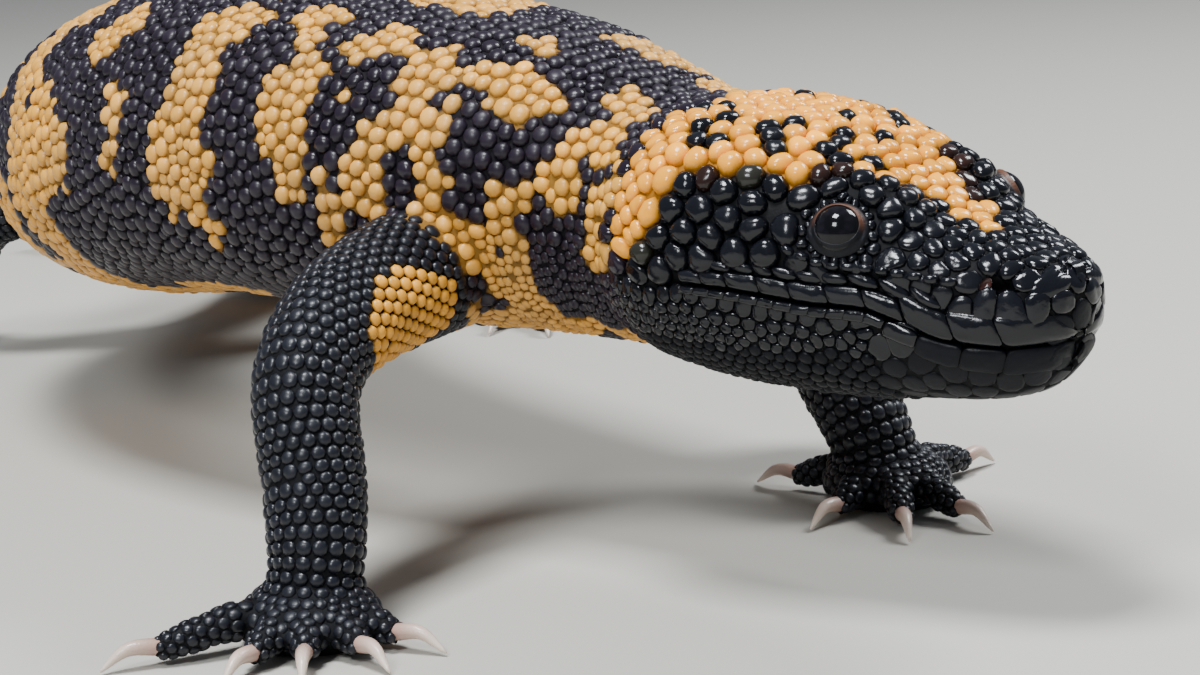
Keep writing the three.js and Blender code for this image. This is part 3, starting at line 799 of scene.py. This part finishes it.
# Head: two rings of narrow scales round each eye, then the rest, spread until they lie evenly
for side in (-1, 1):
    centre, way, rise, _ = flank(EYE_S, EYE_UP, side)
    for number, reach, size, shift in EYE_RINGS:
        turn = round_angles(number, shift)
        ring = centre + np.outer(reach * np.cos(turn), way) + np.outer(reach * np.sin(turn), rise)
        keep(ring, size, 0.75, "head", 4.0)
candidates = []
for ring_at in np.concatenate([[0.1, 0.3, 0.55], np.arange(0.8, 63.5, CANDIDATE_STEP)]):
    round_it, run = girth_run(ring_at, coat_depth(ring_at))
    at = np.interp(np.arange(0, run[-1], CANDIDATE_STEP), run, round_it)
    candidates.append(np.stack([np.full(len(at), ring_at), at], 1))
cand_s, cand_a = np.concatenate(candidates).T
cand_left, cand_up = section(cand_s, cand_a, coat_depth(cand_s))
cand_at = place(cand_s, cand_left, cand_up)
lip_gap = cand_up - along(MOUTH_LINE, cand_s)
lip_top = LIP_HIGH * np.interp(cand_s, [0, 10, 13, 36, 50], [0.74, 0.74, 0.85, 0.78, 0.3])
lip_bottom = -LIP_LOW * np.interp(cand_s, [0, 14, 18, 48], [1.15, 1.1, 0.55, 0.3])
free = ~((cand_s > 1.4) & (cand_s < 49) & (lip_gap < lip_top) & (lip_gap > lip_bottom))
free &= np.abs(lip_gap) > MOUTH_CLEAR
for side in (-1, 1):
    for hole_s, hole_up, clear in (
        (EYE_S, EYE_UP, EYE_CLEAR), (NOSTRIL_S, NOSTRIL_UP, NOSTRIL_CLEAR)
    ):
        free &= np.linalg.norm(cand_at - flank(hole_s, hole_up, side)[0], axis=1) > clear
cand_at, cand_s, cand_a = cand_at[free], cand_s[free], cand_a[free]
cand_r, _ = head_bead(cand_s, np.degrees(cand_a))
order = random.permutation(len(cand_at))
chosen = order[thin(cand_at[order], cand_r[order], HEAD_ROOM)]
centres, sizes = cand_at[chosen], cand_r[chosen]
for _ in range(SPREADING_ROUNDS):
    tree = tree_of(centres)
    owner = np.array([
        min(tree.find_n(p, 4), key=lambda hit: hit[2] / sizes[hit[1]])[1] for p in cand_at
    ])
    count = np.maximum(np.bincount(owner, minlength=len(centres)), 1)
    for k in range(3):
        centres[:, k] = np.bincount(owner, cand_at[:, k], len(centres)) / count
head_s, head_left, head_up = to_body(centres)
bead_r, bead_h = head_bead(head_s, np.degrees(np.arctan2(head_left, head_up)))
keep(centres, bead_r, bead_h * random.uniform(0.85, 1.15, len(bead_r)), "head", 3.0)

# Under the neck: fine grains in rows
for row, s_at in enumerate(np.arange(HEAD_LENGTH + 1.0, 88, 1.35)):
    at = np.radians(np.arange(104, 256, 3.3) + 1.65 * (row % 2))
    at = at + 0.01 * random.standard_normal(len(at))
    ring = body_point(s_at + 0.1 * random.standard_normal(len(at)), at, COAT_DEPTH)
    keep(ring, 0.78, 0.45 * random.uniform(0.85, 1.15, len(at)), "body", 1.2)

# Neck, trunk and tail: rows round the body, every other one set half a bead along
row, s_at = 0, HEAD_LENGTH + 2.2
while s_at < BODY_LENGTH - 1.5:
    shrink = float(np.interp(s_at, [62, 82, 300, 400, 452], [0.72, 1.0, 1.0, 0.85, 0.6]))
    pitch = TRUNK_PITCH * shrink
    round_it, run = girth_run(s_at, COAT_DEPTH)
    number = max(6, int(run[-1] / pitch))
    marks = (np.arange(number) + 0.5 * (row % 2)) / number * run[-1]
    at = np.interp(marks, run, round_it)
    wave = 0.12 * pitch * random.standard_normal(number)
    ring = body_point(s_at + wave, at + 0.02 * random.standard_normal(number), COAT_DEPTH)
    belly = np.clip((np.abs(at) - 2.0) / 0.5, 0, 1)
    tall = (0.92 - 0.62 * belly) * shrink * random.uniform(0.85, 1.15, number)
    keep(ring, pitch / 2, tall, "body", 1.2)
    s_at += pitch * ROW_STEP
    row += 1


def tube_ring(line, u, radius, pitch, row):
    """One row of places round a limb or toe, every other row set half a bead along."""
    number = int(2 * math.pi * radius / pitch)
    turns = round_angles(number, 0.5 * (row % 2))
    return tube_point(line, np.full(number, u), turns, np.full(number, radius))


# Limbs, feet and toes: the same rows, smaller towards the toes
for name, limb in LIMBS.items():
    row, u, line = 0, 0.10, limb["line"]
    while u < 0.95:
        reach = np.linalg.norm(curve_at(line, u + 0.005) - curve_at(line, u - 0.005)) / 0.01
        ring = tube_ring(line, u, float(limb_radius(limb, u)) - LIMB_DEPTH, LIMB_PITCH, row)
        keep(ring, LIMB_PITCH / 2, 0.62 * random.uniform(0.8, 1.15, len(ring)), name, 1.1)
        u += LIMB_PITCH * ROW_STEP / reach
        row += 1
    row, rise = 0, 0.12
    while rise < 1.75:
        number = max(4, int(2 * math.pi * 9.5 * math.sin(rise) / TOE_PITCH))
        ring = palm_point(limb, np.full(number, rise), round_angles(number, 0.5 * (row % 2)))
        keep(ring[ring[:, 2] > 0.8], TOE_PITCH / 2, 0.42, name, 1.0)
        rise += TOE_PITCH * ROW_STEP / 9.0
        row += 1
    for toe in limb["toe_lines"]:
        reach = np.linalg.norm(np.diff(curve_at(toe, np.linspace(0, 1, 20)), axis=0), axis=1).sum()
        row, u = 0, 0.15
        while u < 0.97:
            ring = tube_ring(toe, u, float(toe_radius(limb, u)) - TOE_DEPTH, TOE_PITCH, row)
            keep(ring[ring[:, 2] > 0.7], TOE_PITCH / 2, 0.36, name, 0.8)
            u += TOE_PITCH * 0.9 / reach
            row += 1

bead_at, bead_r, bead_h, bead_group = (np.array(column) for column in zip(*found))
alone = thin(bead_at, bead_r, ALL_ROOM)
bead_at, bead_r, bead_h = bead_at[alone], bead_r[alone], bead_h[alone]
bead_group = bead_group[alone]

# Bare places that the rows leave, such as armpits and groins, are filled bead by bead
tree = tree_of(bead_at)
bare = mesh_points(skin.data) / MM
bare = bare[(to_body(bare)[0] > 66) & (bare[:, 2] > 1.0)]
bare = bare[random.permutation(len(bare))]
hits = [tree.find(p)[1:] for p in bare]
nearest, far = np.array([hit[0] for hit in hits]), np.array([hit[1] for hit in hits])
free = far >= FILL_RADIUS * 0.8 + bead_r[nearest] * 0.9
bare, nearest = bare[free], nearest[free]
filled = thin(bare, np.full(len(bare), FILL_RADIUS), FILL_ROOM)
bead_at = np.concatenate([bead_at, bare[filled]])
bead_r = np.concatenate([bead_r, np.full(len(filled), FILL_RADIUS)])
bead_h = np.concatenate([bead_h, np.full(len(filled), FILL_HEIGHT)])
bead_group = np.concatenate([bead_group, bead_group[nearest[filled]]])

bead_out = np.empty_like(bead_at)
for i, p in enumerate(bead_at):
    close = skin_tree.find_nearest_range(Vector(p) * MM, 0.0011)
    out = sum((hit[1] for hit in close), Vector((0, 0, 0)))
    bead_out[i] = out.normalized() if out.length > 0 else skin_tree.find_nearest(Vector(p) * MM)[1]

# Beads.
# Each bead is one small dome of horn, sunk in the skin and lighter or darker than the next. It
# spreads until it meets its neighbours, so the outlines are rounded polygons.
BEAD_SUNK = 0.45
GREYED, GREYED_SHARE = [0.020, 0.019, 0.015], 0.18
TEMPLE_RADIUS, THROAT_ANGLE = 1.95, 2.06
NEIGHBOURS = 9
# Rings of a dome from its root up: share of the outline, share of the height, painted shading
# (painted shade darkens the root, where the beads meet, and eases to full colour near the top)
FINE_DOME = [
    (1.0, -BEAD_SUNK, 0.30), (0.99, 0.10, 0.55), (0.91, 0.46, 0.85), (0.72, 0.78, 1.0),
    (0.40, 0.96, 1.03),
]
PLAIN_DOME = [(1.0, -BEAD_SUNK, 0.30), (0.97, 0.16, 0.60), (0.80, 0.64, 0.95), (0.42, 0.94, 1.0)]
# Roots on the flat map: start and length along it, middle and half height; each bead's patch
MAP_START, MAP_LONG, MAP_MIDDLE, MAP_HIGH = 0.02, 0.96, 0.5, 0.47
LIMB_MAP_LONG = 0.54
TOE_MAP_START, TOE_MAP_LONG, TOE_MAP_HIGH = 0.60, 0.38, 0.19
MAP_PATCH = 0.0015
BODY_PARTS = [(0, 118), (118, 160), (160, 205), (205, 262), (262, 460)]

bead_s, bead_left, bead_up = to_body(bead_at)
bead_turn = np.arctan2(bead_left, bead_up)
bead_tint, bead_lit = body_colour(bead_at, bead_s, bead_left, bead_up)
bead_root = np.stack([
    MAP_START + MAP_LONG * bead_s / BODY_LENGTH, MAP_MIDDLE + MAP_HIGH * bead_turn / math.pi
], 1)
# Beads of limbs and toes: nearest place on the limb's or a toe's line
for name, limb in LIMBS.items():
    mine = bead_group == name
    at = bead_at[mine]
    share = np.linspace(0, 1, 120)
    lines = np.concatenate([curve_at(line, share) for line in [limb["line"]] + limb["toe_lines"]])
    nearest = np.argmin(np.linalg.norm(at[:, None] - lines[None], axis=-1), 1)
    part, on_it = nearest // len(share), share[nearest % len(share)]
    bead_tint[mine], bead_lit[mine] = limb_colour(at, np.where(part == 0, on_it, 1.0), name)
    ahead = lines[np.minimum(nearest + 1, len(lines) - 1)] - lines[np.maximum(nearest - 1, 0)]
    ahead = unit(ahead)
    sideways = unit(np.cross([0.0, 0.0, 1.0], ahead))
    gap = at - lines[nearest]
    round_it = np.arctan2((gap * sideways).sum(1), (gap * np.cross(ahead, sideways)).sum(1))
    round_it /= math.pi
    on_limb = [MAP_START + LIMB_MAP_LONG * on_it, MAP_MIDDLE + MAP_HIGH * round_it]
    toe_high = (part - 0.5 + 0.45 * round_it) * TOE_MAP_HIGH + MAP_START
    on_toe = [TOE_MAP_START + TOE_MAP_LONG * on_it, toe_high]
    bead_root[mine] = np.where(part == 0, on_limb, on_toe).T
greyed = (bead_group == "head") & ~bead_lit & (bead_r > 1.9) & (bead_s > 31)
greyed &= random.random(len(bead_at)) < GREYED_SHARE
bead_tint[greyed] = GREYED
bead_tint = bead_tint * np.clip(random.normal(1.0, 0.10, len(bead_at)), 0.7, 1.35)[:, None]

tree = tree_of(bead_at)
near = np.array([[hit[1] for hit in tree.find_n(p, NEIGHBOURS + 1)][1:] for p in bead_at])
steep = np.abs(bead_out[:, 2:]) > 0.9
side_way = unit(np.cross(bead_out, np.where(steep, [[1.0, 0, 0]], [[0, 0, 1.0]])))
side_up = np.cross(bead_out, side_way)


def dome_mesh(name, chosen, sides, rings, finish, spread_limit=1.42, uneven=0.0):
    """One joined mesh of the chosen beads, each with its outline, tint and patch of the map."""
    at, radius = bead_at[chosen], bead_r[chosen][:, None]
    ax, ay, az = (ways[chosen][:, None] for ways in (side_way, side_up, bead_out))
    # In each direction a bead reaches the line between itself and its nearest neighbour
    spread = bead_at[near[chosen]] - at[:, None]
    x, y = (spread * ax).sum(-1), (spread * ay).sum(-1)
    share = radius / (radius + bead_r[near[chosen]])
    turn = round_angles(sides)
    facing = np.cos(turn[None, None, :] - np.arctan2(y, x)[..., None])
    far = (share * np.hypot(x, y))[..., None]
    reach = np.where(facing > 0.15, far / np.maximum(facing, 0.15), 99)
    outline = np.clip(reach.min(1) * 0.985 - 0.02, radius * 0.45, radius * spread_limit)
    outline = 0.5 * outline + 0.25 * (np.roll(outline, 1, 1) + np.roll(outline, -1, 1))
    n, last = len(chosen), len(rings) * sides
    points, tints = np.empty((n, last + 1, 3)), np.empty((n, last + 1, 3))
    flat = np.empty((n, last + 1, 2))
    for k, (out, high, painted_shading) in enumerate(rings):
        lift = np.where(high < 0, high * np.ones(n), high * bead_h[chosen])[:, None, None]
        across = outline * out
        ring = slice(k * sides, (k + 1) * sides)
        points[:, ring] = (
            at[:, None]
            + ax * (across * np.cos(turn))[..., None]
            + ay * (across * np.sin(turn))[..., None]
            + az * lift
        )
        if uneven and high > 0:
            lump = lattice_noise(points[:, ring].reshape(-1, 3), 0.95, 31) - 0.5
            points[:, ring] += az * lump.reshape(n, sides, 1) * uneven
        # Painted shade: each ring's colour is darkened towards the bead's root, where shade falls
        # between beads
        tints[:, ring] = (bead_tint[chosen] * painted_shading)[:, None]
        circle = np.stack([np.cos(turn), np.sin(turn)], 1) * MAP_PATCH * out
        flat[:, ring] = bead_root[chosen][:, None] + circle
    points[:, -1] = at + az[:, 0] * bead_h[chosen][:, None]
    # Painted light: the top of each bead is a little lighter
    tints[:, -1] = bead_tint[chosen] * 1.05
    flat[:, -1] = bead_root[chosen]
    first = np.arange(n)[:, None, None] * (last + 1)
    top = last - sides
    fan = [(top + k, top + (k + 1) % sides, last) for k in range(sides)]
    quads = (np.array(band_faces(len(rings), sides, turned=True)) + first).reshape(-1, 4)
    tops = (np.array(fan) + first).reshape(-1, 3)
    loops = np.concatenate([quads.ravel(), tops.ravel()])
    starts = [np.arange(len(quads)) * 4, len(quads) * 4 + np.arange(len(tops)) * 3]
    starts = np.concatenate(starts)
    mesh = bpy.data.meshes.new(name)
    mesh.vertices.add(n * (last + 1))
    mesh.vertices.foreach_set("co", (points * MM).ravel())
    mesh.loops.add(len(loops))
    mesh.loops.foreach_set("vertex_index", loops.astype(np.int32))
    mesh.polygons.add(len(starts))
    mesh.polygons.foreach_set("loop_start", starts.astype(np.int32))
    mesh.update(calc_edges=True)
    mesh.validate()
    layer = mesh.uv_layers.new(name="OFBake")
    layer.data.foreach_set("uv", flat.reshape(-1, 2)[loops].astype(np.float32).ravel())
    paint(mesh, tints.reshape(-1, 3))
    mesh.materials.append(finish)
    return put(name, mesh)


head_finish = scale_finish(
    "wet_head_scales", grain=1400, dry=0.26, wet=0.12, coat=0.15, bump=0.25, shine=0.32
)
throat_finish = scale_finish(
    "throat_scales", grain=1400, dry=0.50, wet=0.34, coat=0.0, bump=0.3, shine=0.14
)
body_finish = scale_finish(
    "body_scales", grain=1100, dry=0.46, wet=0.30, coat=0.05, bump=0.3, shine=0.34
)
limb_finish = scale_finish(
    "limb_scales", grain=1100, dry=0.44, wet=0.30, coat=0.05, bump=0.3, shine=0.34
)
everyone = np.arange(len(bead_at))
on_head = bead_group == "head"
temple = on_head & (np.abs(bead_r - TEMPLE_RADIUS) < 0.01) & ~bead_lit
throat = on_head & ~temple & (np.abs(bead_turn) > THROAT_ANGLE)
others = on_head & ~temple & ~throat
coat = [
    dome_mesh("temple_scales", everyone[temple], 16, FINE_DOME, head_finish, 1.26, 0.20),
    dome_mesh("head_scales", everyone[others], 14, FINE_DOME, head_finish, 1.9, 0.32),
    dome_mesh("throat_scales", everyone[throat], 10, PLAIN_DOME, throat_finish, 1.6),
]
for number, (first, last) in enumerate(BODY_PARTS):
    chosen = everyone[(bead_group == "body") & (bead_s >= first) & (bead_s < last)]
    coat.append(dome_mesh(f"body_scales_{number + 1}", chosen, 9, PLAIN_DOME, body_finish))
for name in LIMBS:
    chosen = everyone[bead_group == name]
    coat.append(dome_mesh(f"{name}_scales", chosen, 8, PLAIN_DOME, limb_finish))
for piece in coat:
    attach(piece, "root")

# Lip plates.
# Smooth oblong plates edge the mouth above and below, with a second, narrower row over the upper
# ones and a chain of small ones under the eye. Each is a low pillow of horn set in the skin.
LIP_INSET = 1.35
# The large plates as far as here on the lower lip have the throat's duller finish
CHIN_END = 15
PILLOW_RINGS = [0.0, 0.3, 0.55, 0.74, 0.87, 0.95, 1.0, 1.02]
PILLOW_SIDES = 24
NOSTRIL_PINK = (0.045, 0.016, 0.013)
# Lengths and heights of the plates, as distances from the snout and the sizes there
UPPER_LONG, UPPER_HIGH = (
    ([0, 12, 30, 47], [5.0, 5.6, 4.8, 3.0]), ([0, 11, 17, 36, 48], [4.2, 4.0, 2.8, 2.4, 1.5])
)
SECOND_LONG, SECOND_HIGH = ([12, 20, 44], [3.4, 3.8, 2.6]), ([12, 16, 44], [1.5, 1.8, 1.2])
LOWER_LONG, LOWER_HIGH = (
    ([0, 14, 18, 46], [5.0, 4.8, 2.6, 2.2]), ([0, 14, 18, 46], [3.6, 3.2, 1.7, 1.2])
)
CHAIN_SLOPE = ([12, 22, 27, 30, 34], [0.0, 0.05, -0.05, 0.25, 0.6])
plate_points, plate_faces, plate_tint, plate_flat, plate_finish = [], [], [], [], []


def mouth(s):
    return along(MOUTH_LINE, np.clip(s, 0.5, 52))


def pillow(side, middle, half, thick, turn=0.0, square=2.4, lean=0.0, colour=BLACK,
           by_mouth=False, ridge=0.0, finish=0):
    """A rounded plate on the flank; middle and half sizes are along the body and upwards.

    With a ridge its ends stay high, so that a row of plates reads as one lip with fine grooves.
    """
    R, T = ring_grid(PILLOW_RINGS, PILLOW_SIDES)
    x, y = R * rounded(np.cos(T), 2 / square), R * rounded(np.sin(T), 2 / square)
    along_it, up_it = x * half[0] + lean * y * half[1], y * half[1]
    s_at = middle[0] + along_it * math.cos(turn) - up_it * math.sin(turn)
    up_at = middle[1] + along_it * math.sin(turn) + up_it * math.cos(turn)
    if by_mouth:
        up_at = up_at + mouth(s_at) - mouth(middle[0])
    point, _, _, out = flank(np.maximum(s_at, 0.4), up_at, side, LIP_INSET)
    dome = np.maximum(0, 1 - R**2.8) ** 0.6
    lip = np.maximum(0, 1 - np.abs(y) ** 2.6) ** 0.6 * (1 - 0.4 * np.abs(x) ** 10)
    lift = thick * (dome * (1 - ridge) + lip * ridge) - 1.0 * (R > 1.01)
    lump = lattice_noise(point.reshape(-1, 3), 1.1, 37).reshape(R.shape) - 0.5
    lift = lift + 0.34 * lump * np.clip(4 * (1 - R), 0, 1)
    faces = band_faces(*R.shape, sum(len(p) for p in plate_points), turned=side < 0)
    plate_faces.extend(faces)
    plate_finish.extend([finish] * len(faces))
    plate_points.append((point + out * lift[..., None]).reshape(-1, 3))
    base = np.array(colour) * (1 + 0.1 * random.standard_normal())
    # Painted shade: each plate darkens to half towards its rim, in the groove between plates
    painted_shading = np.interp(R, [0, 0.8, 1], [1, 1, 0.5])
    plate_tint.append((base * painted_shading[..., None]).reshape(-1, 3))
    root_high = MAP_MIDDLE + side * (0.25 - 0.01 * middle[1])
    root = [MAP_START + MAP_LONG * middle[0] / BODY_LENGTH, root_high]
    plate_flat.append(np.stack([x, y], -1).reshape(-1, 2) * MAP_PATCH + root)


def lip_row(side, start, end, lengths, uneven, heights, thick, gap, grow, over=None, below=False,
            **shape):
    """A row of plates along the mouth, above or below it, or over another row."""
    at = start
    while at < end:
        long = float(np.interp(at, *lengths)) * random.uniform(*uneven)
        high = float(np.interp(at, *heights))
        lift = gap + (float(np.interp(at, *over)) if over else 0) + high / 2
        middle = (at + long / 2, float(mouth(at + long / 2)) + (-lift if below else lift))
        half = (long / 2 + grow[0], high / 2 + grow[1])
        finish = 1 if below and at < CHIN_END else 0
        pillow(side, middle, half, thick, by_mouth=True, finish=finish, **shape)
        at += long


for side in (-1, 1):
    # Tall smooth plates above the mouth, a narrow row over them, and the lower lip
    lip_row(side, 0.9, 47, UPPER_LONG, (0.88, 1.1), UPPER_HIGH, thick=0.9, gap=0.2,
            grow=(0.06, 0), lean=0.35, square=4.5, ridge=0.85)
    lip_row(side, 12.5, 44, SECOND_LONG, (0.85, 1.15), SECOND_HIGH, thick=0.8, gap=0.3,
            grow=(0.04, 0.08), over=UPPER_HIGH, lean=0.5, square=2.5)
    lip_row(side, 0.9, 46, LOWER_LONG, (0.9, 1.1), LOWER_HIGH, thick=0.6, gap=0.2,
            grow=(0.06, 0), below=True, lean=-0.3, square=4.5, ridge=0.85)
    # Chain under the eye, on the fold that runs forward to the nostril
    for at in np.arange(12.0, 34.0, 2.05):
        middle = (at, float(np.interp(at, *EYE_FOLD)))
        slope = float(np.interp(at, *CHAIN_SLOPE))
        pillow(side, middle, (1.05, 0.62), 1.25, turn=slope, square=2.6)
    # A large scale ahead of the nostril and the pink fold inside it
    pillow(side, (2.4, 3.3), (1.5, 2.0), 0.8)
    pillow(side, (8.0, 2.9), (0.6, 0.8), -0.5, square=2, colour=NOSTRIL_PINK)


def new_piece(name, points, faces, colours, *finishes):
    """A piece from its points in millimetres and faces, with its tint and finishes."""
    mesh = bpy.data.meshes.new(name)
    mesh.from_pydata((points * MM).tolist(), [], faces)
    paint(mesh, colours)
    for finish in finishes:
        mesh.materials.append(finish)
    return put(name, mesh)


def weld(piece, reach):
    """Joins the points that lie on each other."""
    piece.modifiers.new("weld", "WELD").merge_threshold = reach
    apply_modifiers(piece)


lip_plates = new_piece("lip_plates", np.concatenate(plate_points), plate_faces,
                       np.concatenate(plate_tint), head_finish, throat_finish)
plate_mesh = lip_plates.data
plate_mesh.polygons.foreach_set("material_index", plate_finish)
loops = np.array([loop.vertex_index for loop in plate_mesh.loops])
flat = np.concatenate(plate_flat)[loops]
plate_mesh.uv_layers.new(name="OFBake").data.foreach_set("uv", flat.astype(np.float32).ravel())
weld(lip_plates, 0.000001)
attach(lip_plates, "root")

# Eyes and lids.
# A dark wet eyeball lies deep in its socket, held by a thick upper lid with a brownish rim and a
# thin lower lid. The lids are bare skin, rolled over the ball's edge.
BALL_RINGS, BALL_SIDES, LID_SIDES = 28, 48, 64
PUPIL, IRIS = np.array([0.002, 0.002, 0.003]), np.array([0.006, 0.005, 0.008])
IRIS_FROM, IRIS_TO = 24, 46
LID_OPEN_LONG, LID_OPEN_HIGH, LID_RAISED = 2.95, 2.75, 0.12
LID_BROWN = np.array([0.11, 0.042, 0.020])
# From the edge of the opening, over a soft rim, down into the skin: share, lift, painted shading
# (painted shade at the opening's edge and where the lid sinks into the skin, a painted highlight
# on the rim's crest)
LID_PROFILE = [
    (0.97, -0.30, 0.5), (0.98, 0.02, 0.8), (1.01, 0.16, 1.2), (1.07, 0.22, 1.0),
    (1.13, 0.06, 0.8), (1.20, 0.0, 0.9), (1.28, -0.25, 0.9), (1.36, -0.6, 0.8),
    (1.42, -1.0, 0.7),
]
lid_finish = scale_finish(
    "lid_skin", grain=1800, dry=0.5, wet=0.34, coat=0.0, bump=0.4, shine=0.25
)
eye_finish = scale_finish(
    "wet_eye", grain=700, dry=0.09, wet=0.04, coat=0.25, bump=0.03, shine=0.2
)
for side, word in ((-1, "right"), (1, "left")):
    centre, way, rise, out = flank(EYE_S, EYE_UP, side)
    V, T = ring_grid(np.linspace(0, math.pi, BALL_RINGS), BALL_SIDES)
    grid = centre - out * EYE_SUNK + EYE_RADIUS * (
        out * np.cos(V)[..., None]
        + way * (np.sin(V) * np.cos(T))[..., None]
        + rise * (np.sin(V) * np.sin(T))[..., None]
    )
    angle, T = np.degrees(V).ravel(), T.ravel()
    fibres = 0.6 + 0.4 * np.sin(T * 31 + 2 * np.sin(T * 7))
    iris = (((angle > IRIS_FROM) & (angle < IRIS_TO)) * fibres)[:, None]
    colours = PUPIL * (1 - iris) + IRIS * iris
    ball = new_piece(f"eyeball_{word}", grid.reshape(-1, 3), band_faces(BALL_RINGS, BALL_SIDES),
                     colours, eye_finish)
    weld(ball, 0.00001)
    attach(ball, "root")
    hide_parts(f"eye_{word}")

    turn = round_angles(LID_SIDES)
    upper = np.clip(np.sin(turn) * 1.5 + 0.3, 0, 1)
    lid_points, lid_tint = [], []
    for share, lift, painted_shading in LID_PROFILE:
        x = LID_OPEN_LONG * share * np.cos(turn)
        y = LID_OPEN_HIGH * share * np.sin(turn) + LID_RAISED
        across = np.hypot(x, y)
        on_ball = np.sqrt(np.maximum(0, EYE_RADIUS**2 - across**2)) - EYE_SUNK
        blend = np.clip((across - 2.8) / 0.9, 0, 1)
        z = on_ball * (1 - blend) - 0.35 * blend + lift * (0.8 + 1.2 * upper)
        lid_points.append(centre + x[:, None] * way + y[:, None] * rise + z[:, None] * out)
        rim = (upper * np.exp(-(((share - 1.08) / 0.10) ** 2)))[:, None]
        # The black lid carries painted shade at the opening and a painted highlight on the rim's
        # crest; the brown on the upper rim is the lid's own colour
        lid_tint.append((BLACK * painted_shading) * (1 - rim) + LID_BROWN * rim)
    lids = new_piece(f"lids_{word}", np.concatenate(lid_points),
                     band_faces(len(LID_PROFILE), LID_SIDES, turned=side > 0),
                     np.concatenate(lid_tint), lid_finish)
    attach(lids, "root")

# Claws.
# Long curved claws of horn, one grown from the end of each toe, pinkish at the root and paler at
# the tip.
CLAW_PINK, CLAW_PALE = np.array([0.44, 0.25, 0.20]), np.array([0.78, 0.66, 0.55])
CLAW_RINGS, CLAW_SIDES, CLAW_TAPER, CLAW_LOWEST = 12, 14, 0.86, 0.12
claw_finish = scale_finish(
    "claw_horn", grain=2600, dry=0.42, wet=0.26, coat=0.2, bump=0.35, shine=0.5
)
claw_points, claw_faces, claw_colours = [], [], []
for limb in LIMBS.values():
    for line in limb["claw_lines"]:
        U, A = ring_grid(np.linspace(0, 1, CLAW_RINGS), CLAW_SIDES)
        grid = tube_point(line, U, A, CLAW_RADIUS * (1 - CLAW_TAPER * U**2))
        grid[..., 2] = np.maximum(grid[..., 2], CLAW_LOWEST)
        points, faces = closed_tube(grid, sum(len(p) for p in claw_points))
        claw_points.append(points)
        claw_faces += faces
        share = np.append(U.ravel(), [0, 1])[:, None]
        claw_colours.append(CLAW_PINK * (1 - share) + CLAW_PALE * share)
claws = new_piece("claws", np.concatenate(claw_points), claw_faces,
                  np.concatenate(claw_colours), claw_finish)
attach(claws, "root")
